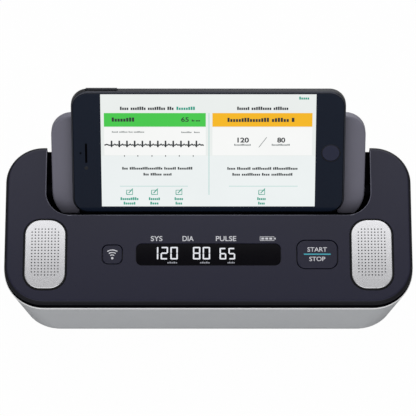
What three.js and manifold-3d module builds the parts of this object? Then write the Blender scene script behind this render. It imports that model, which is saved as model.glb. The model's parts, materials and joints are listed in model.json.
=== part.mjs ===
// Desk ECG and blood pressure monitor with a folding stand and a docked handset.
// Millimetres, +Z up. The front of the case faces -Y, and the origin is on the table under its middle.
// Places are written from the case's middle (X), its deck's top front edge (Y) and the table (Z).

import * as THREE from 'three';
import { mergeVertices } from 'three/addons/utils/BufferGeometryUtils.js';
import Module from 'manifold-3d';

const wasm = await Module();
wasm.setup();

// Shared values
const fitGap = 0.3;
const overrun = 1;
const cornerSteps = 5;
const edgeSteps = 3;
const roundSteps = 20;
const smallRoundSteps = 10;
const quarterTurn = Math.PI / 2;
const mergeTolerance = 1e-4;

// Case: a sloping deck on a base that narrows towards the table
const caseWidth = 235;
const deckLength = 96.8;
const deckSlopeDegrees = 24;
const deckFrontHeight = 28;
const deckFrontRadius = 23;
const deckBackRadius = 21.5;
const deckEdgeRadius = 2.5;
const skirtDepth = 7.5;
const deckWall = 2.4;
const rimProud = 0.4;
const rimWall = 3;
const tongueHeight = 2.8;
const tongueThickness = 1;
const tongueRoot = 1;
const baseWall = 2.5;
const floorWall = 2;
const baseSideInset = 11.5;
const baseFrontInset = 3.4;
const baseDepth = 96.6;
const baseCornerRadius = 20;
const baseEdgeRadius = 3;

// Feet: two rubber strips, front to back
const footHeight = 1.5;
const footLength = 78;
const footWidth = 9;
const footSideMargin = 42.5;
const footSeatDepth = 0.6;

// Case screws, driven up from below
const frontScrewMargin = 23.5;
const frontScrewY = 20;
const rearScrewMargin = 20;
const rearScrewInset = 24;
const postRadius = 4;
const postTop = 18;
const bossRadius = 3.5;
const screwSeatHeight = 12;
const screwHeadRadius = 2.7;
const screwHeadHeight = 2;
const screwShankRadius = 1.4;
const screwShankLength = 16;
const bossSinkInWall = 0.6;

// Recess for the stand: open at the back of the deck, with a trough that the stand's foot swings in
const notchSideMargin = 23.5;
const notchPadGap = 3.75;
const notchCornerRadius = 14;
const notchEdgeRadius = 0.8;
const tubWall = 2;
const foldedSink = 1;
const foldedRestGap = 1;
const troughClearance = 1.5;
const stopGap = 0.5;

// Stand
const standAngleDegrees = 72;
const standThickness = 6;
const standSideGap = 3.5;
const standTopRadius = 12.2;
const standFootRadius = 20;
const standFootCentreDrop = 0.4;
const standEdgeRadius = 1.2;
const cameraStandGap = 3.8;
const standSeatDrop = 9.8;
const standFootDrop = 14.2;
const standFrontWall = 2.2;
const standRim = 2;
const standCoverThickness = 1.5;
const standRibWidth = 1.6;
const standRibCount = 5;
const ledgeDepth = 5;
const ledgeThickness = 1.7;
const ledgeSideInset = 15.5;
const gripThickness = 0.8;
const gripSideInset = 20.5;
const gripInset = 0.5;
const hingePinRadius = 1.5;
const hingePinSocketDepth = 9.5;
const hingeBlockHalfHeight = 3.6;
const hingeBlockReach = 11;
const bushFlangeRadius = 3.2;
const bushFlangeThickness = 2.6;
const bushBarrelRadius = 2.6;
const bushTail = 0.8;

// Handset that rests on the stand
const handsetWidth = 157;
const handsetHeight = 77.4;
const handsetThickness = 7.1;
const handsetCornerRadius = 9.5;
const handsetFrontEdge = 1;
const handsetBackEdge = 3;
const handsetRimWidth = 0.8;
const glassThickness = 0.9;
const homeButtonRadius = 5.3;
const homeButtonThickness = 1.2;
const homeButtonOffset = 70.3;
const homeButtonSink = 0.1;
const homeButtonTravel = 0.4;
const earpieceLength = 12.5;
const earpieceWidth = 1.2;
const earpieceOffset = 70.2;
const powerKeyLength = 18;
const powerKeyWidth = 2.4;
const powerKeyOffset = 61;
const powerKeyProud = 0.6;
const powerKeyDepth = 1.2;
const powerKeyTravel = 0.4;
const cameraRadius = 4.5;
const cameraProud = 0.8;
const cameraDepth = 1;
const cameraSideInset = 12.5;
const cameraTopInset = 10.5;
const chargePortWidth = 8.6;
const chargePortHeight = 2.8;
const chargePortDepth = 5;

// Controls on the deck, all on one row
const controlRow = 30;
const padWidth = 23.2;
const padLength = 41.7;
const padRadius = 9;
const padSideMargin = 11.9;
const padProud = 0.7;
const padBevel = 0.5;
const padSink = 0.9;
const padStudRadius = 1.6;
const gasketWidth = 0.5;
const startPadGap = 8.25;
const windowHeight = 12.9;
const windowRadius = 3.2;
const windowThickness = 1;
const windowLedge = 1.5;
const connectionSize = 11.2;
const connectionRadius = 3.2;
const connectionSpacing = 8.25;
const connectionTravel = 0.6;
const startWidth = 23.1;
const startHeight = 17;
const startRadius = 4.8;
const startSpacing = 9.6;
const startTravel = 0.8;
const buttonGroove = 0.5;
const buttonProud = 0.2;
const buttonEdgeRadius = 0.5;
const buttonFlange = 1.4;
const buttonFlangeThickness = 1.2;
const buttonStemRadius = 2.5;

// Main board, hung under the deck on heat-staked posts
const boardDrop = 11.2;
const boardThickness = 1.6;
const boardSideMargin = 18.5;
const boardFront = 8;
const boardNotchGap = 6.6;
const boardCornerRadius = 3;
const stakeSideInset = 29;
const stakeFrontInset = 3;
const stakeBackInset = 2.5;
const stakePostRadius = 2.8;
const stakePinRadius = 1.2;
const stakeHeadRadius = 2.2;
const stakeHeadThickness = 1;
const switchSize = 6.2;
const switchHeight = 3.5;
const plungerRadius = 1.7;
const plungerLength = 2.4;
const plungerProud = 0.8;
const displaySideInset = 1.45;
const displayEndInset = 0.95;
const processorX = -20;
const processorY = 15;
const processorSize = 12;
const processorHeight = 1.6;
const radioX = -52;
const radioY = 15;
const radioWidth = 18;
const radioLength = 11;
const radioHeight = 2.4;
const buzzerX = 15;
const buzzerY = 42.6;
const buzzerRadius = 4.5;
const buzzerHeight = 4;
const buzzerHoleRadius = 1;
const sensorY = 41.5;
const sensorSize = 9;
const sensorHeight = 4.5;
const sensorNozzleLength = 4;
const chipRadius = 0.6;

// Batteries lie front to back under a door in the floor
const cellRadius = 7.25;
const cellLength = 50.5;
const cellNubRadius = 2.75;
const cellNubLength = 1;
const cellPitch = 15.2;
const cellCount = 4;
const cellSideGap = 0.4;
const cellDoorGap = 0.5;
const springLength = 3.6;
const springRadius = 3.8;
const springWireRadius = 0.45;
const springTurns = 2;
const springTurnSteps = 6;
const springWireSides = 4;
const contactThickness = 1;
const contactHeight = 11;
const contactTabWidth = 5;
const contactTabRise = 7;
const compartmentFront = 30;
const compartmentWall = 3;
const compartmentFrontWall = 4.5;
const compartmentRoof = 1.6;
const doorLedge = 1.2;
const doorGap = 0.4;
const doorTabWidth = 8;
const doorTabReach = 1.8;
const doorTabThickness = 1.2;
const doorTabRoot = 2;
const doorTabOffset = 18;
const doorTabPocketHeight = 3;
const fingerScoopRadius = 10;
const fingerScoopDepth = 1.2;
const fingerScoopWidth = 16;

// Air system
const pumpY = 72;
const pumpZ = 18.5;
const motorRadius = 12;
const motorLength = 28;
const motorCapRadius = 4;
const motorCapLength = 1.5;
const pumpHeadStart = 38;
const pumpHeadLength = 23;
const pumpHeadSize = 27;
const pumpChamberRadius = 6.5;
const pumpChamberLength = 13;
const pumpChamberWall = 3;
const shaftRadius = 1;
const shaftInMotor = 10;
const shaftInHead = 14;
const eccentricRadius = 4;
const eccentricOffset = 1;
const eccentricLength = 5;
const nozzleRadius = 2.2;
const nozzleLength = 5;
const pumpNozzleX = 50;
const pumpNozzleZ = 12;
const saddleWidth = 2.5;
const manifoldY = 48;
const manifoldZ = 11;
const manifoldSize = 8;
const manifoldSideNozzle = 6;
const valveLength = 22;
const valveSize = 13;
const valveNozzleLength = 4;
const valveNozzleBore = 0.6;
const airJackSideInset = 37.5;
const airJackZ = 20;
const airJackRadius = 6.5;
const airJackBoreRadius = 3.6;
const airJackBoreDepth = 13;
const airJackLength = 17;
const airJackProud = 1;
const airJackCollarRadius = 8.6;
const airJackCollarThickness = 2;
const tubeRadius = 2;
const tubeSides = 8;
const tubeSteps = 30;
const shortTubeSteps = 10;

// Power inlet
const powerJackSpacing = 28;
const powerJackZ = 16;
const powerJackWidth = 11;
const powerJackHeight = 12;
const powerJackLength = 12;
const powerJackBoreRadius = 2.8;
const powerJackBoreDepth = 9;
const powerJackPinRadius = 0.9;
const powerJackHoleRadius = 4.2;

// Finger electrodes, let into the sloping sides
const fingerY = 60;
const fingerZ = 27;
const fingerLength = 30;
const fingerHeight = 17;
const fingerThickness = 1.2;
const fingerLeadHoleRadius = 1.5;

// Leads
const leadRadius = 0.9;
const leadDrop = 4;
const leadAcrossShare = 0.6;
const leadForwardShare = 0.5;
const leadSlack = 1.5;
const leadSides = 6;
const leadSteps = 10;

// Sound slots in the floor
const soundSlotCount = 5;
const soundSlotPitch = 3.2;
const soundSlotWidth = 1.4;
const soundSlotLength = 14;
const soundSlotX = 62;
const soundSlotY = 34;

const deckSlope = THREE.MathUtils.degToRad(deckSlopeDegrees);
const standLean = THREE.MathUtils.degToRad(standAngleDegrees - 90);
const foldAngle = THREE.MathUtils.degToRad(standAngleDegrees - deckSlopeDegrees);

// The deck's frame: X across, Y up the slope from the top front edge, Z square to the deck.
const deckMatrix = new THREE.Matrix4()
  .makeTranslation(0, 0, deckFrontHeight)
  .multiply(new THREE.Matrix4().makeRotationX(deckSlope));
const deckInverse = deckMatrix.clone().invert();

// Finishes
const finish = (color, roughness, metalness = 0) =>
  new THREE.MeshStandardMaterial({ color, roughness, metalness });
const deckPlastic = finish(0x38383f, 0.5);
const standPlastic = finish(0x5d5c66, 0.5);
const basePlastic = finish(0xb4b6b9, 0.45);
const darkRubber = finish(0x141416, 0.85);
const clearTube = finish(0xc8ccd0, 0.4);
const steel = finish(0xcfd0d4, 0.3, 1);
const darkGlass = finish(0x07070a, 0.08);
const blackPlastic = finish(0x1c1c20, 0.5);
const boardGreen = finish(0x1d5a3a, 0.5);
const chipBlack = finish(0x18181a, 0.6);
const brass = finish(0xb59a55, 0.35, 1);
const cellJacket = finish(0x2c6f9c, 0.35);
const handsetMetal = finish(0x3a3c42, 0.35, 1);

// Solids: closed triangle meshes, joined and cut
function closedMesh(geometry) {
  const bare = new THREE.BufferGeometry();
  bare.setAttribute('position', geometry.getAttribute('position').clone());
  if (geometry.index) bare.setIndex(geometry.index.clone());
  const merged = mergeVertices(bare, mergeTolerance);
  const kept = [];
  const corner = merged.index.array;
  for (let i = 0; i < corner.length; i += 3) {
    const [a, b, c] = [corner[i], corner[i + 1], corner[i + 2]];
    if (a !== b && b !== c && c !== a) kept.push(a, b, c);
  }
  merged.setIndex(kept);
  return signedVolume(merged) < 0 ? reversed(merged) : merged;
}

function signedVolume(geometry) {
  const place = geometry.getAttribute('position');
  const corner = geometry.index.array;
  const points = [new THREE.Vector3(), new THREE.Vector3(), new THREE.Vector3()];
  let sum = 0;
  for (let i = 0; i < corner.length; i += 3) {
    points.forEach((point, k) => point.fromBufferAttribute(place, corner[i + k]));
    sum += points[0].dot(points[1].clone().cross(points[2]));
  }
  return sum;
}

function reversed(geometry) {
  const corner = Array.from(geometry.index.array);
  for (let i = 0; i < corner.length; i += 3) {
    [corner[i + 1], corner[i + 2]] = [corner[i + 2], corner[i + 1]];
  }
  geometry.setIndex(corner);
  return geometry;
}

function solidOf(geometry) {
  const mesh = closedMesh(geometry);
  return new wasm.Manifold(new wasm.Mesh({
    numProp: 3,
    vertProperties: new Float32Array(mesh.getAttribute('position').array),
    triVerts: new Uint32Array(mesh.index.array),
  }));
}

function geometryOf(solid) {
  const mesh = solid.getMesh();
  const geometry = new THREE.BufferGeometry();
  geometry.setAttribute('position', new THREE.BufferAttribute(mesh.vertProperties, 3));
  geometry.setIndex(new THREE.BufferAttribute(mesh.triVerts, 1));
  return geometry;
}

const join = (...pieces) => geometryOf(pieces.map(solidOf).reduce((sum, next) => sum.add(next)));
const cut = (piece, ...tools) =>
  geometryOf(tools.map(solidOf).reduce((rest, tool) => rest.subtract(tool), solidOf(piece)));
const common = (piece, other) => geometryOf(solidOf(piece).intersect(solidOf(other)));

// Outlines, counter-clockwise from the front left corner
function roundedOutline(area, inset = 0) {
  const { left, right, front, back, frontRadius, backRadius } = area;
  const corners = [
    [left + frontRadius, front + frontRadius, frontRadius, 2],
    [right - frontRadius, front + frontRadius, frontRadius, 3],
    [right - backRadius, back - backRadius, backRadius, 0],
    [left + backRadius, back - backRadius, backRadius, 1],
  ];
  const points = [];
  for (const [x, y, radius, quarter] of corners) {
    for (let step = 0; step <= cornerSteps; step += 1) {
      const angle = (quarter + step / cornerSteps) * quarterTurn;
      const reach = radius - inset;
      points.push(new THREE.Vector2(x + reach * Math.cos(angle), y + reach * Math.sin(angle)));
    }
  }
  return points;
}

function centredArea(x, y, width, length, radius) {
  return {
    left: x - width / 2,
    right: x + width / 2,
    front: y - length / 2,
    back: y + length / 2,
    frontRadius: radius,
    backRadius: radius,
  };
}

function grown(area, by) {
  return {
    left: area.left - by,
    right: area.right + by,
    front: area.front - by,
    back: area.back + by,
    frontRadius: area.frontRadius + by,
    backRadius: area.backRadius + by,
  };
}

const ring = (outline, height) => outline.map((point) => new THREE.Vector3(point.x, point.y, height));

// A closed body through rings of equally many points, from the lowest to the highest.
// Each side face is split along its shorter diagonal, so mirrored outlines give mirrored faces.
function loft(rings) {
  const count = rings[0].length;
  const points = rings.flat();
  const places = points.flatMap((point) => [point.x, point.y, point.z]);
  const faces = [];
  for (let level = 0; level < rings.length - 1; level += 1) {
    for (let i = 0; i < count; i += 1) {
      const next = (i + 1) % count;
      const low = level * count;
      const high = low + count;
      const [a, b, c, d] = [low + i, low + next, high + next, high + i];
      const rising = points[a].distanceTo(points[c]) < points[b].distanceTo(points[d]);
      faces.push(...(rising ? [a, b, c, a, c, d] : [a, b, d, b, c, d]));
    }
  }
  const last = (rings.length - 1) * count;
  const flat = (outline) => outline.map((point) => new THREE.Vector2(point.x, point.y));
  for (const [a, b, c] of THREE.ShapeUtils.triangulateShape(flat(rings[0]), [])) faces.push(c, b, a);
  for (const [a, b, c] of THREE.ShapeUtils.triangulateShape(flat(rings.at(-1)), [])) {
    faces.push(last + a, last + b, last + c);
  }
  const geometry = new THREE.BufferGeometry();
  geometry.setAttribute('position', new THREE.Float32BufferAttribute(places, 3));
  geometry.setIndex(faces);
  return geometry;
}

const prism = (outline, low, high) => loft([ring(outline, low), ring(outline, high)]);

// Rings that round an upper edge, from the side wall to the top face
function topEdgeRings(outlineAt, high, radius) {
  const rings = [];
  for (let step = 0; step <= edgeSteps; step += 1) {
    const angle = (step / edgeSteps) * quarterTurn;
    const inset = radius * (1 - Math.cos(angle));
    rings.push(ring(outlineAt(inset), high - radius * (1 - Math.sin(angle))));
  }
  return rings;
}

// Rings that round a lower edge, from the bottom face to the side wall
function bottomEdgeRings(outlineAt, low, radius) {
  const rings = [];
  for (let step = edgeSteps; step >= 0; step -= 1) {
    const angle = (step / edgeSteps) * quarterTurn;
    const inset = radius * (1 - Math.cos(angle));
    rings.push(ring(outlineAt(inset), low + radius * (1 - Math.sin(angle))));
  }
  return rings;
}

const block = (x0, x1, y0, y1, z0, z1) =>
  new THREE.BoxGeometry(x1 - x0, y1 - y0, z1 - z0)
    .translate((x0 + x1) / 2, (y0 + y1) / 2, (z0 + z1) / 2);

const roundPlate = (area, low, high) => prism(roundedOutline(area), low, high);

// Rods along one axis, given the two other coordinates in order
const rodZ = (x, y, radius, low, high, steps = roundSteps) =>
  new THREE.CylinderGeometry(radius, radius, high - low, steps)
    .rotateX(quarterTurn)
    .translate(x, y, (low + high) / 2);
const rodY = (x, z, radius, low, high, steps = roundSteps) =>
  new THREE.CylinderGeometry(radius, radius, high - low, steps).translate(x, (low + high) / 2, z);
const rodX = (y, z, radius, low, high, steps = roundSteps) =>
  new THREE.CylinderGeometry(radius, radius, high - low, steps)
    .rotateZ(quarterTurn)
    .translate((low + high) / 2, y, z);

// A rod on one side of the middle, from a near to a far distance
const rodAcross = (side, y, z, radius, near, far) =>
  rodX(y, z, radius, Math.min(side * near, side * far), Math.max(side * near, side * far), smallRoundSteps);

// A turned piece about Z from [radius, height] pairs, then laid along another axis
const turned = (profile, steps = roundSteps) =>
  new THREE.LatheGeometry(profile.map(([radius, height]) => new THREE.Vector2(radius, height)), steps)
    .rotateX(quarterTurn);
const alongX = (geometry, side = 1) => geometry.rotateY(side * quarterTurn);
const alongY = (geometry) => geometry.rotateX(-quarterTurn);

// Profiles drawn in Y and Z, run along X
const runAlongX = (points, low, high) => {
  const turn = new THREE.Matrix4().set(0, 0, 1, 0, 1, 0, 0, 0, 0, 1, 0, 0, 0, 0, 0, 1);
  return prism(points, low, high).applyMatrix4(turn);
};

const roundSection = (radius, sides) => {
  const shape = new THREE.Shape();
  for (let i = 0; i < sides; i += 1) {
    const angle = (i / sides) * 2 * Math.PI;
    const point = [radius * Math.cos(angle), radius * Math.sin(angle)];
    if (i === 0) shape.moveTo(...point);
    else shape.lineTo(...point);
  }
  return shape;
};

const sweep = (section, path, steps) =>
  new THREE.ExtrudeGeometry(section, { steps, extrudePath: path, bevelEnabled: false });
const smoothPath = (points) =>
  new THREE.CatmullRomCurve3(points.map(([x, y, z]) => new THREE.Vector3(x, y, z)), false, 'centripetal');

const onDeck = (geometry) => geometry.applyMatrix4(deckMatrix);
const inDeck = (geometry) => geometry.applyMatrix4(deckInverse);
const deckPoint = (x, y, z) => new THREE.Vector3(x, y, z).applyMatrix4(deckMatrix);

// The scene: the case, with the deck's frame and the stand's frame inside it
const monitor = new THREE.Group();
const caseFrame = new THREE.Group();
const deckFrame = new THREE.Group();
const standFrame = new THREE.Group();
const handsetFrame = new THREE.Group();
monitor.add(caseFrame);
caseFrame.add(deckFrame, standFrame);
standFrame.add(handsetFrame);
deckFrame.position.set(0, 0, deckFrontHeight);
deckFrame.rotation.x = deckSlope;

function part(frame, name, geometry, material) {
  const mesh = new THREE.Mesh(closedMesh(geometry), material);
  mesh.name = name;
  frame.add(mesh);
  return mesh;
}

// Places that several pieces share
const deckArea = {
  left: -caseWidth / 2,
  right: caseWidth / 2,
  front: 0,
  back: deckLength,
  frontRadius: deckFrontRadius,
  backRadius: deckBackRadius,
};
const baseArea = {
  left: -caseWidth / 2 + baseSideInset,
  right: caseWidth / 2 - baseSideInset,
  front: baseFrontInset,
  back: baseFrontInset + baseDepth,
  frontRadius: baseCornerRadius,
  backRadius: baseCornerRadius,
};
const rimDrop = skirtDepth + fitGap;
const floorTop = footHeight + floorWall;
const notchFront = controlRow + padLength / 2 + notchPadGap;
const ledgeFrontReach = standThickness / 2 + ledgeDepth;
const gripDrop = standSeatDrop + fitGap;
const ledgeTopDrop = gripDrop + gripThickness + fitGap;
const ledgeBottomDrop = ledgeTopDrop + ledgeThickness;
const troughRadius = Math.hypot(ledgeBottomDrop, ledgeFrontReach) + troughClearance;
const hingeY = notchFront + troughRadius;
const hingeDrop = standThickness / 2 + foldedSink;
const recessDrop = hingeDrop + standThickness / 2 + foldedRestGap;
const notchHalf = caseWidth / 2 - notchSideMargin;
const standHalf = notchHalf - standSideGap;
const standTopAboveSeat = handsetHeight - cameraTopInset - cameraRadius - cameraStandGap;
const ledgeWidth = 2 * (standHalf - ledgeSideInset);
const gripWidth = 2 * (standHalf - gripSideInset);
const footSpacing = caseWidth - 2 * footSideMargin;
const frontScrewX = caseWidth / 2 - frontScrewMargin;
const rearScrewX = caseWidth / 2 - rearScrewMargin;
const rearScrewY = baseArea.back - rearScrewInset;
const airJackX = airJackSideInset - caseWidth / 2;
const manifoldX = airJackX;
const powerJackX = airJackX + powerJackSpacing;
const boardWidth = caseWidth - 2 * boardSideMargin;
const boardBack = notchFront - boardNotchGap;
const stakeX = boardWidth / 2 - stakeSideInset;
const hingePlace = deckPoint(0, hingeY, -hingeDrop);
const boardTop = -boardDrop;
const boardBottom = boardTop - boardThickness;
const chipSeat = boardTop + fitGap;
const padX = caseWidth / 2 - padSideMargin - padWidth / 2;
const windowWidth = 2 * (padX - padWidth / 2 - startPadGap - startWidth - startSpacing);
const displayWidth = windowWidth - 2 * displaySideInset;
const displayHeight = windowHeight - 2 * displayEndInset;
const connectionX = -(windowWidth / 2 + connectionSpacing + connectionSize / 2);
const startX = windowWidth / 2 + startSpacing + startWidth / 2;
const buttonFlangeTop = -(deckWall + fitGap);
const buttonFlangeBottom = buttonFlangeTop - buttonFlangeThickness;
const switchTop = chipSeat + switchHeight;
const plungerTop = switchTop + plungerProud + fitGap;
const stemBottom = plungerTop + fitGap;
const startArea = centredArea(startX, controlRow, startWidth, startHeight, startRadius);
const connectionArea =
  centredArea(connectionX, controlRow, connectionSize, connectionSize, connectionRadius);
const windowArea = centredArea(0, controlRow, windowWidth, windowHeight, windowRadius);
const padArea = (side) => centredArea(side * padX, controlRow, padWidth, padLength, padRadius);
const sides = [[-1, 'left'], [1, 'right']];

const compartmentHalf = ((cellCount - 1) * cellPitch) / 2 + cellRadius + cellSideGap;
const cellZ = floorTop + cellDoorGap + cellRadius;
const contactGap = fitGap + contactThickness + fitGap;
const compartmentLength = 2 * contactGap + springLength + cellLength;
const compartmentBack = compartmentFront + compartmentLength;
const compartmentTop = cellZ + cellRadius + cellDoorGap;
const doorOpening = {
  left: -compartmentHalf - doorLedge,
  right: compartmentHalf + doorLedge,
  front: compartmentFront - doorLedge,
  back: compartmentBack + doorLedge,
  frontRadius: doorLedge,
  backRadius: doorLedge,
};
const doorFront = doorOpening.front + doorGap;
const doorTabBottom = floorTop + fitGap;
const doorTabTop = doorTabBottom + doorTabThickness;

// Recess: the trough's section in the deck's frame, grown by an offset
function recessSection(offset, right, top) {
  const radius = troughRadius + offset;
  const wallSet = standThickness / 2 + stopGap + offset;
  const floor = -recessDrop - offset;
  const along = new THREE.Vector2(Math.cos(foldAngle), Math.sin(foldAngle));
  const behind = new THREE.Vector2(along.y, -along.x).multiplyScalar(wallSet);
  const onTrough = behind.clone().addScaledVector(along, -Math.sqrt(radius ** 2 - wallSet ** 2));
  const floorReach = (floor + hingeDrop - behind.y) / along.y;
  const onFloor = behind.clone().addScaledVector(along, floorReach);
  const points = [
    new THREE.Vector2(notchFront - offset - notchEdgeRadius - overrun, top),
    new THREE.Vector2(notchFront - offset - notchEdgeRadius - overrun, -hingeDrop),
  ];
  const endAngle = 2 * Math.PI + Math.atan2(onTrough.y, onTrough.x);
  for (let step = 0; step <= roundSteps / 2; step += 1) {
    const angle = THREE.MathUtils.lerp(Math.PI, endAngle, step / (roundSteps / 2));
    points.push(new THREE.Vector2(
      hingeY + radius * Math.cos(angle),
      -hingeDrop + radius * Math.sin(angle),
    ));
  }
  points.push(new THREE.Vector2(hingeY + onFloor.x, floor));
  points.push(new THREE.Vector2(right, floor));
  points.push(new THREE.Vector2(right, top));
  return points;
}

const recessPlan = {
  left: -notchHalf,
  right: notchHalf,
  front: notchFront,
  back: deckLength + notchCornerRadius + overrun,
  frontRadius: notchCornerRadius,
  backRadius: notchCornerRadius,
};
const recessDepth = hingeDrop + troughRadius + tubWall + overrun;

function recessCutter() {
  const section = recessSection(0, deckLength + overrun, overrun);
  const rings = [ring(roundedOutline(recessPlan), -recessDepth)];
  for (let step = 0; step <= edgeSteps; step += 1) {
    const angle = (step / edgeSteps) * quarterTurn;
    const flare = notchEdgeRadius * (1 - Math.cos(angle));
    rings.push(ring(roundedOutline(recessPlan, -flare), notchEdgeRadius * (Math.sin(angle) - 1)));
  }
  rings.push(ring(roundedOutline(recessPlan, -notchEdgeRadius), overrun));
  const reach = notchHalf + notchEdgeRadius + overrun;
  return common(runAlongX(section, -reach, reach), loft(rings));
}

function recessTub(offset, right, top) {
  const section = recessSection(offset, right, top);
  const reach = notchHalf + offset + overrun;
  const plan = prism(roundedOutline(grown(recessPlan, offset)), -recessDepth - overrun, top + overrun);
  return common(runAlongX(section, -reach, reach), plan);
}

const screwPlaces = [
  ['front_left_case_screw', -frontScrewX, frontScrewY],
  ['front_right_case_screw', frontScrewX, frontScrewY],
  ['rear_left_case_screw', -rearScrewX, rearScrewY],
  ['rear_right_case_screw', rearScrewX, rearScrewY],
];

const stakePlaces = [];
for (const side of [-1, 1]) {
  stakePlaces.push([side * stakeX, boardFront + stakeFrontInset]);
  stakePlaces.push([side * stakeX, boardBack - stakeBackInset]);
}

// Case
function makeUpperCase() {
  const outer = loft([
    ring(roundedOutline(deckArea), -skirtDepth),
    ...topEdgeRings((inset) => roundedOutline(deckArea, inset), 0, deckEdgeRadius),
  ]);
  const hollow = prism(roundedOutline(deckArea, deckWall), -skirtDepth - overrun, -deckWall);
  const shell = cut(outer, hollow);
  const underWall = bossSinkInWall - deckWall;
  const aboveWall = onDeck(block(-caseWidth, caseWidth, -deckLength, 2 * deckLength, underWall, caseWidth));
  const bosses = screwPlaces.map(([, x, y]) =>
    inDeck(cut(rodZ(x, y, bossRadius, postTop + fitGap, caseWidth, smallRoundSteps), aboveWall)));
  const pilotHoles = screwPlaces.map(([, x, y]) => {
    const top = screwSeatHeight + fitGap + screwShankLength + fitGap;
    return inDeck(rodZ(x, y, screwShankRadius + fitGap, 0, top, smallRoundSteps));
  });
  const stakes = stakePlaces.map(([x, y]) => join(
    rodZ(x, y, stakePostRadius, chipSeat, underWall, smallRoundSteps),
    rodZ(x, y, stakePinRadius, boardBottom - fitGap - stakeHeadThickness, chipSeat + overrun, smallRoundSteps),
    rodZ(x, y, stakeHeadRadius, boardBottom - fitGap - stakeHeadThickness, boardBottom - fitGap,
      smallRoundSteps),
  ));
  const holes = [
    roundPlate(grown(startArea, buttonGroove), -deckWall - overrun, overrun),
    roundPlate(grown(connectionArea, buttonGroove), -deckWall - overrun, overrun),
    roundPlate(grown(windowArea, fitGap), -windowThickness - fitGap, overrun),
    roundPlate(grown(windowArea, -windowLedge), -deckWall - overrun, overrun),
  ];
  for (const [side] of sides) {
    holes.push(roundPlate(grown(padArea(side), fitGap + gasketWidth + fitGap), -padSink - fitGap, overrun));
    holes.push(rodZ(side * padX, controlRow, padStudRadius + fitGap, -deckWall - overrun, 0, smallRoundSteps));
    holes.push(rodAcross(side, hingeY, -hingeDrop, bushBarrelRadius + fitGap, notchHalf - overrun,
      notchHalf + tubWall + bushTail + fitGap));
  }
  const body = join(shell, ...bosses, ...stakes, recessTub(tubWall, deckLength, -deckWall / 2));
  return cut(body, recessCutter(), ...pilotHoles, ...holes);
}

function baseSolid() {
  const rim = ring(roundedOutline(deckArea, -rimProud), -rimDrop).map((p) => p.applyMatrix4(deckMatrix));
  return loft([
    ...bottomEdgeRings((inset) => roundedOutline(baseArea, inset), footHeight, baseEdgeRadius),
    rim,
  ]);
}

function baseHollow() {
  const rim = ring(roundedOutline(deckArea, rimWall), overrun - rimDrop)
    .map((p) => p.applyMatrix4(deckMatrix));
  return loft([ring(roundedOutline(baseArea, baseWall), floorTop), rim]);
}

// The rear wall's outer and inner faces, as a distance from the case's front, at a height
function rearWallAt(height, low, high) {
  return THREE.MathUtils.mapLinear(height, low.z, high.z, low.y, high.y);
}
const rearOuterY = (height) => rearWallAt(height,
  new THREE.Vector3(0, baseArea.back, footHeight + baseEdgeRadius),
  deckPoint(0, deckLength + rimProud, -rimDrop));
const rearInnerY = (height) => rearWallAt(height,
  new THREE.Vector3(0, baseArea.back - baseWall, floorTop),
  deckPoint(0, deckLength - rimWall, overrun - rimDrop));

const footArea = (side) => centredArea(side * footSpacing / 2, (baseArea.front + baseArea.back) / 2,
  footWidth, footLength, footWidth / 2);

const fingerArea = centredArea(fingerY, fingerZ, fingerLength, fingerHeight, fingerHeight / 2);

// A slice of the sloping wall, from one depth under its face to another
function wallSlice(side, area, from, to) {
  const window = runAlongX(roundedOutline(area), Math.min(0, side * caseWidth), Math.max(0, side * caseWidth));
  const faceAt = (depth) => solidOf(baseSolid().translate(-side * depth, 0, 0));
  return geometryOf(faceAt(from).intersect(solidOf(window)).subtract(faceAt(to)));
}

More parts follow.
